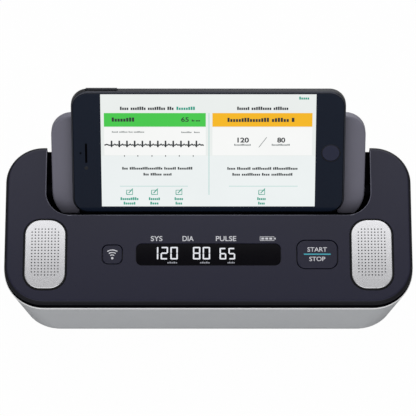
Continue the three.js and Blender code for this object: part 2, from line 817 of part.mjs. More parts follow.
function makeLowerCase() {
  const tongueArea = grown(deckArea, -(deckWall + fitGap));
  const tongue = cut(
    prism(roundedOutline(tongueArea), -rimDrop - tongueRoot, -skirtDepth + tongueHeight),
    prism(roundedOutline(tongueArea, tongueThickness), -rimDrop - tongueRoot - overrun, overrun),
  );
  const shell = join(cut(baseSolid(), baseHollow()), onDeck(tongue));
  const posts = screwPlaces.map(([, x, y]) =>
    rodZ(x, y, postRadius, floorTop - floorWall / 2, postTop, smallRoundSteps));
  const screwWays = screwPlaces.flatMap(([, x, y]) => [
    rodZ(x, y, screwHeadRadius + fitGap, 0, screwSeatHeight, smallRoundSteps),
    rodZ(x, y, screwShankRadius + fitGap, 0, postTop + overrun, smallRoundSteps),
  ]);
  const compartment = block(
    -compartmentHalf - compartmentWall, compartmentHalf + compartmentWall,
    compartmentFront - compartmentFrontWall, compartmentBack + compartmentWall,
    floorTop - floorWall / 2, compartmentTop + compartmentRoof,
  );
  const cellSpace = block(-compartmentHalf, compartmentHalf, compartmentFront, compartmentBack,
    floorTop, compartmentTop);
  const doorSpace = roundPlate(doorOpening, 0, floorTop + fitGap);
  const tabPockets = [-1, 1].map((side) => block(
    side * doorTabOffset - doorTabWidth / 2 - fitGap, side * doorTabOffset + doorTabWidth / 2 + fitGap,
    doorFront - doorTabReach - fitGap, compartmentFront + overrun,
    floorTop, floorTop + doorTabPocketHeight,
  ));
  const tabSlot = block(
    -contactTabWidth / 2 - fitGap, contactTabWidth / 2 + fitGap,
    compartmentFront, compartmentFront + contactGap,
    compartmentTop - overrun, compartmentTop + compartmentRoof + overrun,
  );
  const scoop = fingerScoop();
  const pumpSaddle = cut(
    block(pumpMotorEnd - saddleWidth * 2, pumpMotorEnd - saddleWidth, pumpY - motorRadius, pumpY + motorRadius,
      floorTop - floorWall / 2, pumpZ),
    rodX(pumpY, pumpZ, motorRadius + fitGap, 0, caseWidth / 2),
  );
  const headPad = block(pumpHeadStart + saddleWidth, pumpHeadStart + pumpHeadLength - saddleWidth,
    pumpY - pumpHeadSize / 3, pumpY + pumpHeadSize / 3, floorTop - floorWall / 2,
    pumpZ - pumpHeadSize / 2 - fitGap);
  const valvePad = block(valveStart + saddleWidth, valveStart + valveLength - saddleWidth,
    manifoldY - valveSize / 3, manifoldY + valveSize / 3, floorTop - floorWall / 2,
    manifoldZ - valveSize / 2 - fitGap);
  const manifoldPad = block(manifoldX - manifoldSize / 3, manifoldX + manifoldSize / 3,
    manifoldY - manifoldSize / 3, manifoldY + manifoldSize / 3, floorTop - floorWall / 2,
    manifoldZ - manifoldSize / 2 - fitGap);
  const jackPad = block(powerJackX - powerJackWidth / 3, powerJackX + powerJackWidth / 3,
    powerJackBack - powerJackLength, powerJackBack, floorTop - floorWall / 2,
    powerJackZ - powerJackHeight / 2 - fitGap);
  const jackHoles = [
    rodY(powerJackX, powerJackZ, powerJackHoleRadius, powerJackBack, rearOuterY(0) + overrun),
    rodY(airJackX, airJackZ, airJackRadius + fitGap, airJackMouth - airJackLength, rearOuterY(0) + overrun),
  ];
  const fingerSeats = sides.flatMap(([side]) => [
    wallSlice(side, grown(fingerArea, fitGap), -overrun, fingerThickness + fitGap),
    rodAcross(side, fingerY, fingerZ, fingerLeadHoleRadius, boardWidth / 2, caseWidth / 2),
  ]);
  const slots = [];
  for (let i = 0; i < soundSlotCount; i += 1) {
    const x = soundSlotX + (i - (soundSlotCount - 1) / 2) * soundSlotPitch;
    slots.push(block(x - soundSlotWidth / 2, x + soundSlotWidth / 2, soundSlotY - soundSlotLength / 2,
      soundSlotY + soundSlotLength / 2, 0, floorTop + overrun));
  }
  const footSeats = sides.map(([side]) =>
    roundPlate(grown(footArea(side), fitGap), 0, footHeight + footSeatDepth));
  const recessRoom = onDeck(recessTub(tubWall + fitGap, deckLength + overrun, overrun));
  const body = join(shell, ...posts, compartment, pumpSaddle, headPad, valvePad, manifoldPad, jackPad);
  const inside = common(body, baseAndTongueSpace());
  return cut(inside, cellSpace, doorSpace, ...tabPockets, tabSlot, scoop, ...jackHoles, ...fingerSeats,
    ...slots, ...footSeats, recessRoom, ...screwWays);
}

// Everything of the lower case stays inside its own outer face, but for the tongue
function baseAndTongueSpace() {
  const above = onDeck(prism(roundedOutline(deckArea, deckWall + fitGap), -rimDrop - overrun, overrun));
  return join(baseSolid(), above);
}

function fingerScoop() {
  return rodX(doorOpening.back, footHeight - fingerScoopRadius + fingerScoopDepth, fingerScoopRadius,
    -fingerScoopWidth / 2, fingerScoopWidth / 2);
}

function makeBatteryDoor() {
  const plate = roundPlate(grown(doorOpening, -doorGap), footHeight, floorTop);
  const tabs = [-1, 1].flatMap((side) => {
    const left = side * doorTabOffset - doorTabWidth / 2;
    const right = left + doorTabWidth;
    return [
      block(left, right, doorFront + fitGap, doorFront + doorTabRoot, floorTop - floorWall / 2, doorTabTop),
      block(left, right, doorFront - doorTabReach, doorFront + doorTabRoot, doorTabBottom, doorTabTop),
    ];
  });
  return cut(join(plate, ...tabs), fingerScoop());
}

const pumpMotorStart = pumpHeadStart + pumpHeadLength + fitGap;
const pumpMotorEnd = pumpMotorStart + motorLength;
const manifoldNozzleEnd = manifoldSize / 2 + nozzleLength;
const valveStart = manifoldX + manifoldSize / 2 + manifoldSideNozzle;
const powerJackBack = rearInnerY(powerJackZ + powerJackHeight / 2) - fitGap;
const airJackMouth = rearOuterY(airJackZ) + airJackProud;

part(deckFrame, 'upper_case', makeUpperCase(), deckPlastic);
part(caseFrame, 'lower_case', makeLowerCase(), basePlastic);
part(caseFrame, 'battery_door', makeBatteryDoor(), basePlastic);
for (const [side, name] of sides) {
  part(caseFrame, `${name}_foot`, roundPlate(footArea(side), 0, footHeight + footSeatDepth - fitGap),
    darkRubber);
}
for (const [name, x, y] of screwPlaces) {
  const seat = screwSeatHeight - fitGap;
  const profile = [
    [0, seat - screwHeadHeight],
    [screwHeadRadius, seat - screwHeadHeight],
    [screwHeadRadius, seat],
    [screwShankRadius, seat],
    [screwShankRadius, seat + screwShankLength],
    [0, seat + screwShankLength],
  ];
  part(caseFrame, name, turned(profile, smallRoundSteps).translate(x, y, 0), steel);
}

// Controls
function buttonCap(area) {
  const outlineAt = (inset) => roundedOutline(area, inset);
  const cap = loft([
    ring(outlineAt(0), buttonFlangeBottom),
    ...topEdgeRings(outlineAt, buttonProud, buttonEdgeRadius),
  ]);
  const flange = roundPlate(grown(area, buttonFlange), buttonFlangeBottom, buttonFlangeTop);
  const x = (area.left + area.right) / 2;
  const stem = rodZ(x, controlRow, buttonStemRadius, stemBottom, buttonFlangeTop, smallRoundSteps);
  return join(cap, flange, stem);
}

function switchBody(x) {
  const body = roundPlate(centredArea(x, controlRow, switchSize, switchSize, chipRadius), chipSeat, switchTop);
  const hole = plungerTop - plungerLength - Math.max(startTravel, connectionTravel) - fitGap;
  return cut(body, rodZ(x, controlRow, plungerRadius + fitGap, hole, switchTop + overrun, smallRoundSteps));
}

const switchPlunger = (x) =>
  rodZ(x, controlRow, plungerRadius, plungerTop - plungerLength, plungerTop, smallRoundSteps);

part(deckFrame, 'start_stop_button', buttonCap(startArea), deckPlastic);
part(deckFrame, 'connection_button', buttonCap(connectionArea), deckPlastic);
part(deckFrame, 'start_switch', switchBody(startX), blackPlastic);
part(deckFrame, 'start_switch_plunger', switchPlunger(startX), blackPlastic);
part(deckFrame, 'connection_switch', switchBody(connectionX), blackPlastic);
part(deckFrame, 'connection_switch_plunger', switchPlunger(connectionX), blackPlastic);
part(deckFrame, 'display_window', roundPlate(windowArea, -windowThickness, 0), darkGlass);
part(deckFrame, 'display_module',
  roundPlate(centredArea(0, controlRow, displayWidth, displayHeight, chipRadius), chipSeat,
    -deckWall - fitGap), blackPlastic);

// Thumb electrodes, each in a thin dark gasket
function thumbElectrode(side) {
  const outlineAt = (inset) => roundedOutline(padArea(side), inset);
  const plate = loft([ring(outlineAt(0), -padSink), ...topEdgeRings(outlineAt, padProud, padBevel)]);
  return join(plate, rodZ(side * padX, controlRow, padStudRadius, chipSeat, padProud / 2 - padSink,
    smallRoundSteps));
}

function thumbGasket(side) {
  const inner = grown(padArea(side), fitGap);
  const outer = grown(inner, gasketWidth);
  return cut(roundPlate(outer, -padSink, 0), roundPlate(inner, -padSink - overrun, overrun));
}

for (const [side, name] of sides) {
  part(deckFrame, `${name}_thumb_electrode`, thumbElectrode(side), steel);
  part(deckFrame, `${name}_thumb_gasket`, thumbGasket(side), darkRubber);
}

// Finger electrodes and their leads
for (const [side, name] of sides) {
  part(caseFrame, `${name}_finger_electrode`, wallSlice(side, fingerArea, 0, fingerThickness), steel);
  const heightShare = (fingerZ - footHeight - baseEdgeRadius)
    / (deckPoint(0, fingerY, -rimDrop).z - footHeight - baseEdgeRadius);
  const face = caseWidth / 2 - THREE.MathUtils.lerp(baseSideInset, -rimProud, heightShare);
  const start = face - fingerThickness - leadSlack;
  const end = deckPoint(boardWidth / 2 - 3 * leadRadius, (boardFront + boardBack) / 2, boardBottom - fitGap);
  const low = end.z - leadDrop;
  const path = smoothPath([
    [side * start, fingerY, fingerZ],
    [side * (start - 3 * leadRadius), fingerY - leadRadius, fingerZ],
    [
      side * THREE.MathUtils.lerp(start, end.x, leadAcrossShare),
      THREE.MathUtils.lerp(fingerY, end.y, leadForwardShare),
      low,
    ],
    [side * end.x, end.y + leadDrop, low],
    [side * end.x, end.y, end.z - leadRadius],
  ]);
  part(caseFrame, `${name}_finger_lead`, sweep(roundSection(leadRadius, leadSides), path, leadSteps),
    darkRubber);
}

// Main board and what sits on it
function makeMainBoard() {
  const area = {
    left: -boardWidth / 2,
    right: boardWidth / 2,
    front: boardFront,
    back: boardBack,
    frontRadius: boardCornerRadius,
    backRadius: boardCornerRadius,
  };
  const stakeHoles = stakePlaces.map(([x, y]) =>
    rodZ(x, y, stakePinRadius + fitGap, boardBottom - overrun, boardTop + overrun, smallRoundSteps));
  const bossNotches = screwPlaces.map(([, x, y]) =>
    inDeck(rodZ(x, y, bossRadius + 2 * fitGap, 0, caseWidth / 2, smallRoundSteps)));
  return cut(roundPlate(area, boardBottom, boardTop), ...stakeHoles, ...bossNotches);
}

const chip = (x, y, width, length, height) =>
  roundPlate(centredArea(x, y, width, length, chipRadius), chipSeat, chipSeat + height);

function pressureSensor() {
  const top = boardBottom - fitGap;
  return join(
    roundPlate(centredArea(manifoldX, sensorY, sensorSize, sensorSize, chipRadius), top - sensorHeight, top),
    rodZ(manifoldX, sensorY, nozzleRadius, top - sensorHeight - sensorNozzleLength, top - sensorHeight / 2,
      smallRoundSteps),
  );
}

part(deckFrame, 'main_board', makeMainBoard(), boardGreen);
part(deckFrame, 'processor_chip',
  chip(processorX, processorY, processorSize, processorSize, processorHeight), chipBlack);
part(deckFrame, 'radio_module', chip(radioX, radioY, radioWidth, radioLength, radioHeight), steel);
part(deckFrame, 'pressure_sensor', pressureSensor(), chipBlack);
part(deckFrame, 'buzzer', cut(
  rodZ(buzzerX, buzzerY, buzzerRadius, chipSeat, chipSeat + buzzerHeight),
  rodZ(buzzerX, buzzerY, buzzerHoleRadius, chipSeat + buzzerHeight / 2, chipSeat + buzzerHeight + overrun,
    smallRoundSteps),
), chipBlack);

// Batteries and their contact strips
const cellX = (index) => (index - (cellCount - 1) / 2) * cellPitch;
const cellBack = compartmentBack - contactGap;
const cellFront = compartmentFront + contactGap;
const springAtFront = (index) => index % 2 === 0;

function makeCell(index) {
  const body = cellLength - cellNubLength;
  const profile = [
    [0, 0],
    [cellRadius, 0],
    [cellRadius, body],
    [cellNubRadius, body],
    [cellNubRadius, cellLength],
    [0, cellLength],
  ];
  const cell = alongY(turned(profile));
  if (springAtFront(index)) return cell.translate(cellX(index), cellBack - cellLength, cellZ);
  return cell.rotateZ(Math.PI).translate(cellX(index), cellFront + cellLength, cellZ);
}

class SpringCurve extends THREE.Curve {
  constructor(x, from, to, z) {
    super();
    Object.assign(this, { x, from, to, z });
  }

  getPoint(t, target = new THREE.Vector3()) {
    const angle = t * springTurns * 2 * Math.PI;
    return target.set(
      this.x + springRadius * Math.cos(angle),
      THREE.MathUtils.lerp(this.from, this.to, t),
      this.z + springRadius * Math.sin(angle),
    );
  }
}

// A strip with a coil spring for every other cell and a tab where the lead is soldered
function contactStrip(atFront) {
  const near = atFront ? compartmentFront + fitGap : compartmentBack - fitGap - contactThickness;
  const strip = block(-compartmentHalf + fitGap, compartmentHalf - fitGap, near, near + contactThickness,
    cellZ - contactHeight / 2, cellZ + contactHeight / 2);
  const pieces = [strip];
  for (let index = 0; index < cellCount; index += 1) {
    if (springAtFront(index) !== atFront) continue;
    const inStrip = near + contactThickness / 2;
    const tip = atFront
      ? near + contactThickness + springLength - springWireRadius
      : near - springLength + springWireRadius;
    const curve = new SpringCurve(cellX(index), inStrip, tip, cellZ);
    pieces.push(sweep(roundSection(springWireRadius, springWireSides), curve, springTurns * springTurnSteps));
  }
  if (atFront) {
    pieces.push(block(-contactTabWidth / 2, contactTabWidth / 2, near, near + contactThickness, cellZ,
      cellZ + contactHeight / 2 + contactTabRise));
  }
  return join(...pieces);
}

for (let index = 0; index < cellCount; index += 1) {
  part(caseFrame, `battery_${index + 1}`, makeCell(index), cellJacket);
}
part(caseFrame, 'front_battery_contacts', contactStrip(true), brass);
part(caseFrame, 'rear_battery_contacts', contactStrip(false), brass);

// Pump: a motor turns an eccentric in the head
function makePumpHead() {
  const body = block(pumpHeadStart, pumpHeadStart + pumpHeadLength, pumpY - pumpHeadSize / 2,
    pumpY + pumpHeadSize / 2, pumpZ - pumpHeadSize / 2, pumpZ + pumpHeadSize / 2);
  const chamberEnd = pumpHeadStart + pumpHeadLength - pumpChamberWall;
  const nozzle = rodY(pumpNozzleX, pumpNozzleZ, nozzleRadius, pumpY - pumpHeadSize / 2 - nozzleLength, pumpY,
    smallRoundSteps);
  return cut(
    join(body, nozzle),
    rodX(pumpY, pumpZ, pumpChamberRadius, chamberEnd - pumpChamberLength, chamberEnd),
    rodX(pumpY, pumpZ, shaftRadius + fitGap, chamberEnd - overrun, pumpMotorStart + overrun, smallRoundSteps),
  );
}

function makePumpMotor() {
  return cut(
    join(
      rodX(pumpY, pumpZ, motorRadius, pumpMotorStart, pumpMotorEnd),
      rodX(pumpY, pumpZ, motorCapRadius, pumpMotorEnd - overrun, pumpMotorEnd + motorCapLength,
        smallRoundSteps),
    ),
    rodX(pumpY, pumpZ, shaftRadius + fitGap, pumpMotorStart - overrun, pumpMotorStart + shaftInMotor + fitGap,
      smallRoundSteps),
  );
}

function makePumpShaft() {
  const chamberEnd = pumpHeadStart + pumpHeadLength - pumpChamberWall;
  const discEnd = chamberEnd - fitGap * 3;
  return join(
    rodX(pumpY, pumpZ, shaftRadius, pumpMotorStart - shaftInHead, pumpMotorStart + shaftInMotor,
      smallRoundSteps),
    rodX(pumpY, pumpZ - eccentricOffset, eccentricRadius, discEnd - eccentricLength, discEnd),
  );
}

part(caseFrame, 'pump_head', makePumpHead(), blackPlastic);
part(caseFrame, 'pump_motor', makePumpMotor(), steel);
part(caseFrame, 'pump_shaft', makePumpShaft(), steel);

// Manifold: pump at the front, air jack at the back, sensor on top and the valve at the side
function makeManifold() {
  const half = manifoldSize / 2;
  return join(
    block(manifoldX - half, manifoldX + half, manifoldY - half, manifoldY + half, manifoldZ - half,
      manifoldZ + half),
    rodY(manifoldX, manifoldZ, nozzleRadius, manifoldY - manifoldNozzleEnd, manifoldY + manifoldNozzleEnd,
      smallRoundSteps),
    rodZ(manifoldX, manifoldY, nozzleRadius, manifoldZ, manifoldZ + manifoldNozzleEnd, smallRoundSteps),
    rodX(manifoldY, manifoldZ, nozzleRadius - valveNozzleBore, manifoldX,
      manifoldX + half + manifoldSideNozzle + valveNozzleLength - fitGap, smallRoundSteps),
  );
}

function makeValve() {
  return cut(
    block(valveStart, valveStart + valveLength, manifoldY - valveSize / 2, manifoldY + valveSize / 2,
      manifoldZ - valveSize / 2, manifoldZ + valveSize / 2),
    rodX(manifoldY, manifoldZ, nozzleRadius - valveNozzleBore + fitGap, valveStart - overrun,
      valveStart + valveNozzleLength + fitGap, smallRoundSteps),
  );
}

function makeAirJack() {
  const inner = airJackMouth - airJackLength;
  const collar = rearInnerY(airJackZ + airJackCollarRadius) - fitGap;
  const body = join(
    rodY(airJackX, airJackZ, airJackRadius, inner, airJackMouth),
    rodY(airJackX, airJackZ, airJackCollarRadius, collar - airJackCollarThickness, collar),
    rodY(airJackX, airJackZ, nozzleRadius, inner - nozzleLength, inner + overrun, smallRoundSteps),
  );
  const bore = rodY(airJackX, airJackZ, airJackBoreRadius, airJackMouth - airJackBoreDepth,
    airJackMouth + overrun);
  return cut(body, bore);
}

part(caseFrame, 'air_manifold', makeManifold(), blackPlastic);
part(caseFrame, 'release_valve', makeValve(), steel);
part(caseFrame, 'air_jack', makeAirJack(), blackPlastic);

// Air tubes, from nozzle to nozzle
const pumpNozzleTip = pumpY - pumpHeadSize / 2 - nozzleLength - fitGap;
const manifoldFrontTip = manifoldY - manifoldNozzleEnd - fitGap;
const tubeRun = compartmentFront - compartmentFrontWall - 3 * tubeRadius;
part(caseFrame, 'pump_tube', sweep(roundSection(tubeRadius, tubeSides), smoothPath([
  [manifoldX, manifoldFrontTip, manifoldZ],
  [manifoldX, manifoldFrontTip - 2 * tubeRadius, manifoldZ],
  [manifoldX + 4 * tubeRadius, tubeRun, manifoldZ],
  [manifoldX / 2, tubeRun - tubeRadius, manifoldZ],
  [0, tubeRun - tubeRadius, manifoldZ],
  [pumpNozzleX - 6 * tubeRadius, tubeRun - tubeRadius, manifoldZ],
  [pumpNozzleX - tubeRadius, tubeRun + 3 * tubeRadius, pumpNozzleZ],
  [pumpNozzleX, pumpNozzleTip - 3 * tubeRadius, pumpNozzleZ],
  [pumpNozzleX, pumpNozzleTip, pumpNozzleZ],
]), tubeSteps), clearTube);

const jackTip = airJackMouth - airJackLength - nozzleLength - fitGap;
const manifoldRearTip = manifoldY + manifoldNozzleEnd + fitGap;
part(caseFrame, 'jack_tube', sweep(roundSection(tubeRadius, tubeSides), smoothPath([
  [manifoldX, manifoldRearTip, manifoldZ],
  [manifoldX, manifoldRearTip + 2 * tubeRadius, manifoldZ],
  [manifoldX / 2 + airJackX / 2, (manifoldRearTip + jackTip) / 2, (manifoldZ + airJackZ) / 2],
  [airJackX, jackTip - 2 * tubeRadius, airJackZ],
  [airJackX, jackTip, airJackZ],
]), shortTubeSteps), clearTube);

const sensorDown = boardBottom - fitGap - sensorHeight - sensorNozzleLength - fitGap;
const sensorTip = deckPoint(manifoldX, sensorY, sensorDown);
const sensorLead = deckPoint(manifoldX, sensorY, sensorDown - tubeRadius);
const manifoldTopTip = manifoldZ + manifoldNozzleEnd + fitGap;
part(caseFrame, 'sensor_tube', sweep(roundSection(tubeRadius, tubeSides), smoothPath([
  [manifoldX, manifoldY, manifoldTopTip],
  [manifoldX, manifoldY, manifoldTopTip + tubeRadius / 2],
  sensorLead.toArray(),
  sensorTip.toArray(),
]), shortTubeSteps), clearTube);

// Power inlet behind its hole in the back wall
function makePowerJack() {
  const back = powerJackBack;
  const body = block(powerJackX - powerJackWidth / 2, powerJackX + powerJackWidth / 2, back - powerJackLength,
    back, powerJackZ - powerJackHeight / 2, powerJackZ + powerJackHeight / 2);
  const bore = rodY(powerJackX, powerJackZ, powerJackBoreRadius, back - powerJackBoreDepth, back + overrun);
  const pin = rodY(powerJackX, powerJackZ, powerJackPinRadius, back - powerJackBoreDepth - overrun,
    back - overrun, smallRoundSteps);
  return join(cut(body, bore), pin);
}

part(caseFrame, 'dc_jack', makePowerJack(), blackPlastic);

// Leads from the battery tab and the motor to the board
const tabTop = cellZ + contactHeight / 2 + contactTabRise;
const tabY = compartmentFront + fitGap + contactThickness / 2;
const boardUnderTab = (tabY * Math.tan(deckSlope)) + deckFrontHeight
  + (boardBottom - fitGap) / Math.cos(deckSlope) - 2 * fitGap;
part(caseFrame, 'battery_lead', sweep(roundSection(leadRadius, leadSides), smoothPath([
  [0, tabY, tabTop + fitGap],
  [0, tabY, boardUnderTab],
]), 1), darkRubber);

const motorLeadStart = pumpY - motorRadius - fitGap;
const motorLeadX = pumpMotorEnd - 2 * saddleWidth - 2 * leadRadius;
const motorLeadEnd = deckPoint(motorLeadX, boardBack - leadDrop, boardBottom - fitGap);
part(caseFrame, 'motor_lead', sweep(roundSection(leadRadius, leadSides), smoothPath([
  [motorLeadX, motorLeadStart, pumpZ],
  [motorLeadX, motorLeadStart - leadDrop, pumpZ + leadRadius],
  [motorLeadX, (motorLeadStart - leadDrop + motorLeadEnd.y) / 2, (pumpZ + motorLeadEnd.z) / 2],
  [motorLeadX, motorLeadEnd.y, motorLeadEnd.z - leadDrop],
  [motorLeadX, motorLeadEnd.y, motorLeadEnd.z - leadRadius],
]), leadSteps), darkRubber);

// Stand: its frame has X along the hinge, Z up the panel and Y through it, with the hinge at its origin
standFrame.position.copy(hingePlace);
standFrame.rotation.x = standLean;
const upright = (geometry) => geometry.rotateX(quarterTurn);
const standBack = -standThickness / 2;
const standFront = standThickness / 2;
const standTop = standTopAboveSeat - standSeatDrop;

// The panel's outline: round top corners, and wide foot corners cut off flat at the bottom
function standOutline(inset = 0) {
  const half = standHalf - inset;
  const low = -standFootDrop + inset;
  const footCentre = -standFootCentreDrop;
  const footReach = standFootRadius - inset;
  const start = Math.asin(THREE.MathUtils.clamp((footCentre - low) / footReach, 0, 1));
  const points = [];
  for (let step = 0; step <= cornerSteps; step += 1) {
    const angle = -start * (1 - step / cornerSteps);
    points.push(new THREE.Vector2(
      half - footReach + footReach * Math.cos(angle),
      footCentre + footReach * Math.sin(angle),
    ));
  }
  const topReach = standTopRadius - inset;
  for (let step = 0; step <= cornerSteps; step += 1) {
    const angle = (step / cornerSteps) * quarterTurn;
    points.push(new THREE.Vector2(
      half - topReach + topReach * Math.cos(angle),
      standTop - inset - topReach + topReach * Math.sin(angle),
    ));
  }
  const mirrored = points.map((point) => new THREE.Vector2(-point.x, point.y)).reverse();
  return [...points, ...mirrored];
}

// A block across the panel's thickness that the hinge pin is pressed into
function hingeBlock(side, grow, low, high) {
  const near = standHalf - hingeBlockReach - grow;
  const far = standHalf - standRim / 2 + grow;
  return block(Math.min(side * near, side * far), Math.max(side * near, side * far),
    -hingeBlockHalfHeight - grow, hingeBlockHalfHeight + grow, low, high);
}

function makeStandPanel() {
  const plate = loft([
    ring(standOutline(), standBack),
    ...topEdgeRings(standOutline, standFront, standEdgeRadius),
  ]);
  const hollow = prism(standOutline(standRim), standBack - overrun, standFront - standFrontWall);
  const ledge = block(-ledgeWidth / 2, ledgeWidth / 2, -ledgeBottomDrop, -ledgeTopDrop,
    standFront - standFrontWall / 2, ledgeFrontReach);
  const ribs = [];
  for (let i = 0; i < standRibCount; i += 1) {
    const x = standHalf * ((2 * (i + 1)) / (standRibCount + 1) - 1);
    ribs.push(block(x - standRibWidth / 2, x + standRibWidth / 2, -ledgeTopDrop, standTop - standRim,
      standBack + standCoverThickness + fitGap, standFront - standFrontWall / 2));
  }
  const blocks = sides.map(([side]) => hingeBlock(side, 0, standBack, standFront - standFrontWall / 2));
  const sockets = sides.map(([side]) =>
    rodAcross(side, 0, 0, hingePinRadius + fitGap, standHalf - hingePinSocketDepth, standHalf + overrun));
  return upright(cut(join(cut(plate, hollow), ledge, ...ribs, ...blocks), ...sockets));
}

function makeStandCover() {
  const plate = prism(standOutline(standRim + fitGap), standBack, standBack + standCoverThickness);
  const notches = sides.map(([side]) =>
    hingeBlock(side, fitGap, standBack - overrun, standBack + standCoverThickness + overrun));
  return upright(cut(plate, ...notches));
}

part(standFrame, 'stand_panel', makeStandPanel(), standPlastic);
part(standFrame, 'stand_back_cover', makeStandCover(), standPlastic);
part(standFrame, 'stand_grip_strip', upright(roundPlate(
  centredArea(0, -gripDrop - gripThickness / 2, gripWidth, gripThickness, gripThickness / 4),
  standFront + fitGap, ledgeFrontReach - gripInset,
)), darkRubber);

for (const [side, name] of sides) {
  const inner = standHalf - hingePinSocketDepth + fitGap;
  const outer = notchHalf + tubWall + bushTail;
  part(standFrame, `${name}_hinge_pin`, rodAcross(side, 0, 0, hingePinRadius, inner, outer), steel);
  const bore = hingePinRadius + fitGap;
  const flangeEnd = notchHalf - fitGap;
  const profile = [
    [bore, flangeEnd - bushFlangeThickness],
    [bushFlangeRadius, flangeEnd - bushFlangeThickness],
    [bushFlangeRadius, flangeEnd],
    [bushBarrelRadius, flangeEnd],
    [bushBarrelRadius, outer],
    [bore, outer],
    [bore, flangeEnd - bushFlangeThickness],
  ];
  const bush = alongX(turned(profile, smallRoundSteps), side).translate(0, hingeY, -hingeDrop);
  part(deckFrame, `${name}_hinge_bush`, bush, blackPlastic);
}

// Handset: its frame has its lower back edge at the origin, and its screen faces -Y
handsetFrame.position.set(0, -standThickness / 2 - fitGap, -standSeatDrop);
const handsetArea = centredArea(0, handsetHeight / 2, handsetWidth, handsetHeight, handsetCornerRadius);
const glassArea = grown(handsetArea, -handsetRimWidth - fitGap);
const glassBack = handsetThickness - glassThickness;
const homeSeat = handsetThickness - homeButtonThickness - homeButtonSink;
const handsetMiddle = handsetHeight / 2;

function makeHandsetShell() {
  const outlineAt = (inset) => roundedOutline(handsetArea, inset);
  const body = loft([
    ...bottomEdgeRings(outlineAt, 0, handsetBackEdge),
    ...topEdgeRings(outlineAt, handsetThickness, handsetFrontEdge),
  ]);
  const glassSeat = roundPlate(grown(glassArea, fitGap), glassBack - fitGap, handsetThickness + overrun);
  const homeWell = rodZ(homeButtonOffset, handsetMiddle, homeButtonRadius + fitGap,
    homeSeat - homeButtonTravel - fitGap, handsetThickness);
  const keyWay = block(
    -powerKeyOffset - powerKeyLength / 2 - fitGap, -powerKeyOffset + powerKeyLength / 2 + fitGap,
    handsetHeight - powerKeyDepth - powerKeyTravel - fitGap, handsetHeight + overrun,
    handsetThickness / 2 - powerKeyWidth / 2 - fitGap, handsetThickness / 2 + powerKeyWidth / 2 + fitGap,
  );
  const cameraWell = rodZ(cameraSideInset - handsetWidth / 2, handsetHeight - cameraTopInset,
    cameraRadius + fitGap, -overrun, cameraDepth + fitGap);
  const portArea = centredArea(handsetMiddle, handsetThickness / 2, chargePortWidth, chargePortHeight,
    chargePortHeight / 2 - fitGap / 2);
  const port = runAlongX(roundedOutline(portArea), handsetWidth / 2 - chargePortDepth,
    handsetWidth / 2 + overrun);
  return cut(body, glassSeat, homeWell, keyWay, cameraWell, port);
}

function makeHandsetGlass() {
  const glass = roundPlate(glassArea, glassBack, handsetThickness);
  const homeHole = rodZ(homeButtonOffset, handsetMiddle, homeButtonRadius + fitGap, 0,
    handsetThickness + overrun);
  const earpiece = roundPlate(
    centredArea(-earpieceOffset, handsetMiddle, earpieceWidth, earpieceLength, earpieceWidth / 2 - fitGap / 2),
    0, handsetThickness + overrun,
  );
  return cut(glass, homeHole, earpiece);
}

part(handsetFrame, 'handset_shell', upright(makeHandsetShell()), handsetMetal);
part(handsetFrame, 'handset_glass', upright(makeHandsetGlass()), darkGlass);
part(handsetFrame, 'handset_home_button', upright(rodZ(homeButtonOffset, handsetMiddle, homeButtonRadius,
  homeSeat, homeSeat + homeButtonThickness)), darkGlass);
part(handsetFrame, 'handset_power_key', upright(block(
  -powerKeyOffset - powerKeyLength / 2, -powerKeyOffset + powerKeyLength / 2,
  handsetHeight - powerKeyDepth, handsetHeight + powerKeyProud,
  handsetThickness / 2 - powerKeyWidth / 2, handsetThickness / 2 + powerKeyWidth / 2,
)), handsetMetal);
part(handsetFrame, 'handset_camera', upright(rodZ(cameraSideInset - handsetWidth / 2,
  handsetHeight - cameraTopInset, cameraRadius, -cameraProud, cameraDepth)), darkGlass);

// The origin goes on the table under the middle of the whole
monitor.updateMatrixWorld(true);
const bounds = new THREE.Box3().setFromObject(monitor, true);
caseFrame.position.set(-(bounds.min.x + bounds.max.x) / 2, -(bounds.min.y + bounds.max.y) / 2, -bounds.min.z);

export default monitor;
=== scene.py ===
import json
import math

import bmesh
import bpy
from mathutils import Matrix, Vector


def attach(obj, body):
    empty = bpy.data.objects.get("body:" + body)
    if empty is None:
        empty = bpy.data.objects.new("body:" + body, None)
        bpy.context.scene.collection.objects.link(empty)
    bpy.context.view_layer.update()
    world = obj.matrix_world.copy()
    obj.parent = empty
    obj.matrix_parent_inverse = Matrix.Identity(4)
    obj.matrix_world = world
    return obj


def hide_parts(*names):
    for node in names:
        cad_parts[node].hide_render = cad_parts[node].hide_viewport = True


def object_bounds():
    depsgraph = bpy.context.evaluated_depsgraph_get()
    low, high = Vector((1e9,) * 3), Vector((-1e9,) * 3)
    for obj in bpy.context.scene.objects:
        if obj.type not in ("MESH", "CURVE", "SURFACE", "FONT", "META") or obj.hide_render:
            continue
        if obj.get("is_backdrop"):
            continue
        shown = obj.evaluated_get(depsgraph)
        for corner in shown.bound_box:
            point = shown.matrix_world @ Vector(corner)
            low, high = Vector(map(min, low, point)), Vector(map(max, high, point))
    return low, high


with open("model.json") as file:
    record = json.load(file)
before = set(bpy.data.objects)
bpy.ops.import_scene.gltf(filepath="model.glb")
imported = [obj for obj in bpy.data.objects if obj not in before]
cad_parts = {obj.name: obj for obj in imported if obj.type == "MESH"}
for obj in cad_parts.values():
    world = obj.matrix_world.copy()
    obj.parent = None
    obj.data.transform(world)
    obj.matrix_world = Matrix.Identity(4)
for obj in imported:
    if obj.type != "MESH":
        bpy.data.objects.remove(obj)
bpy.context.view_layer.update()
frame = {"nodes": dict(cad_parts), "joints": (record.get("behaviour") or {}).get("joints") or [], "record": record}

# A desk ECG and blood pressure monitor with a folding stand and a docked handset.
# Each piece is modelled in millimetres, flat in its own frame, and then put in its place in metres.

# Case sizes in millimetres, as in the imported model
CASE_WIDTH = 235
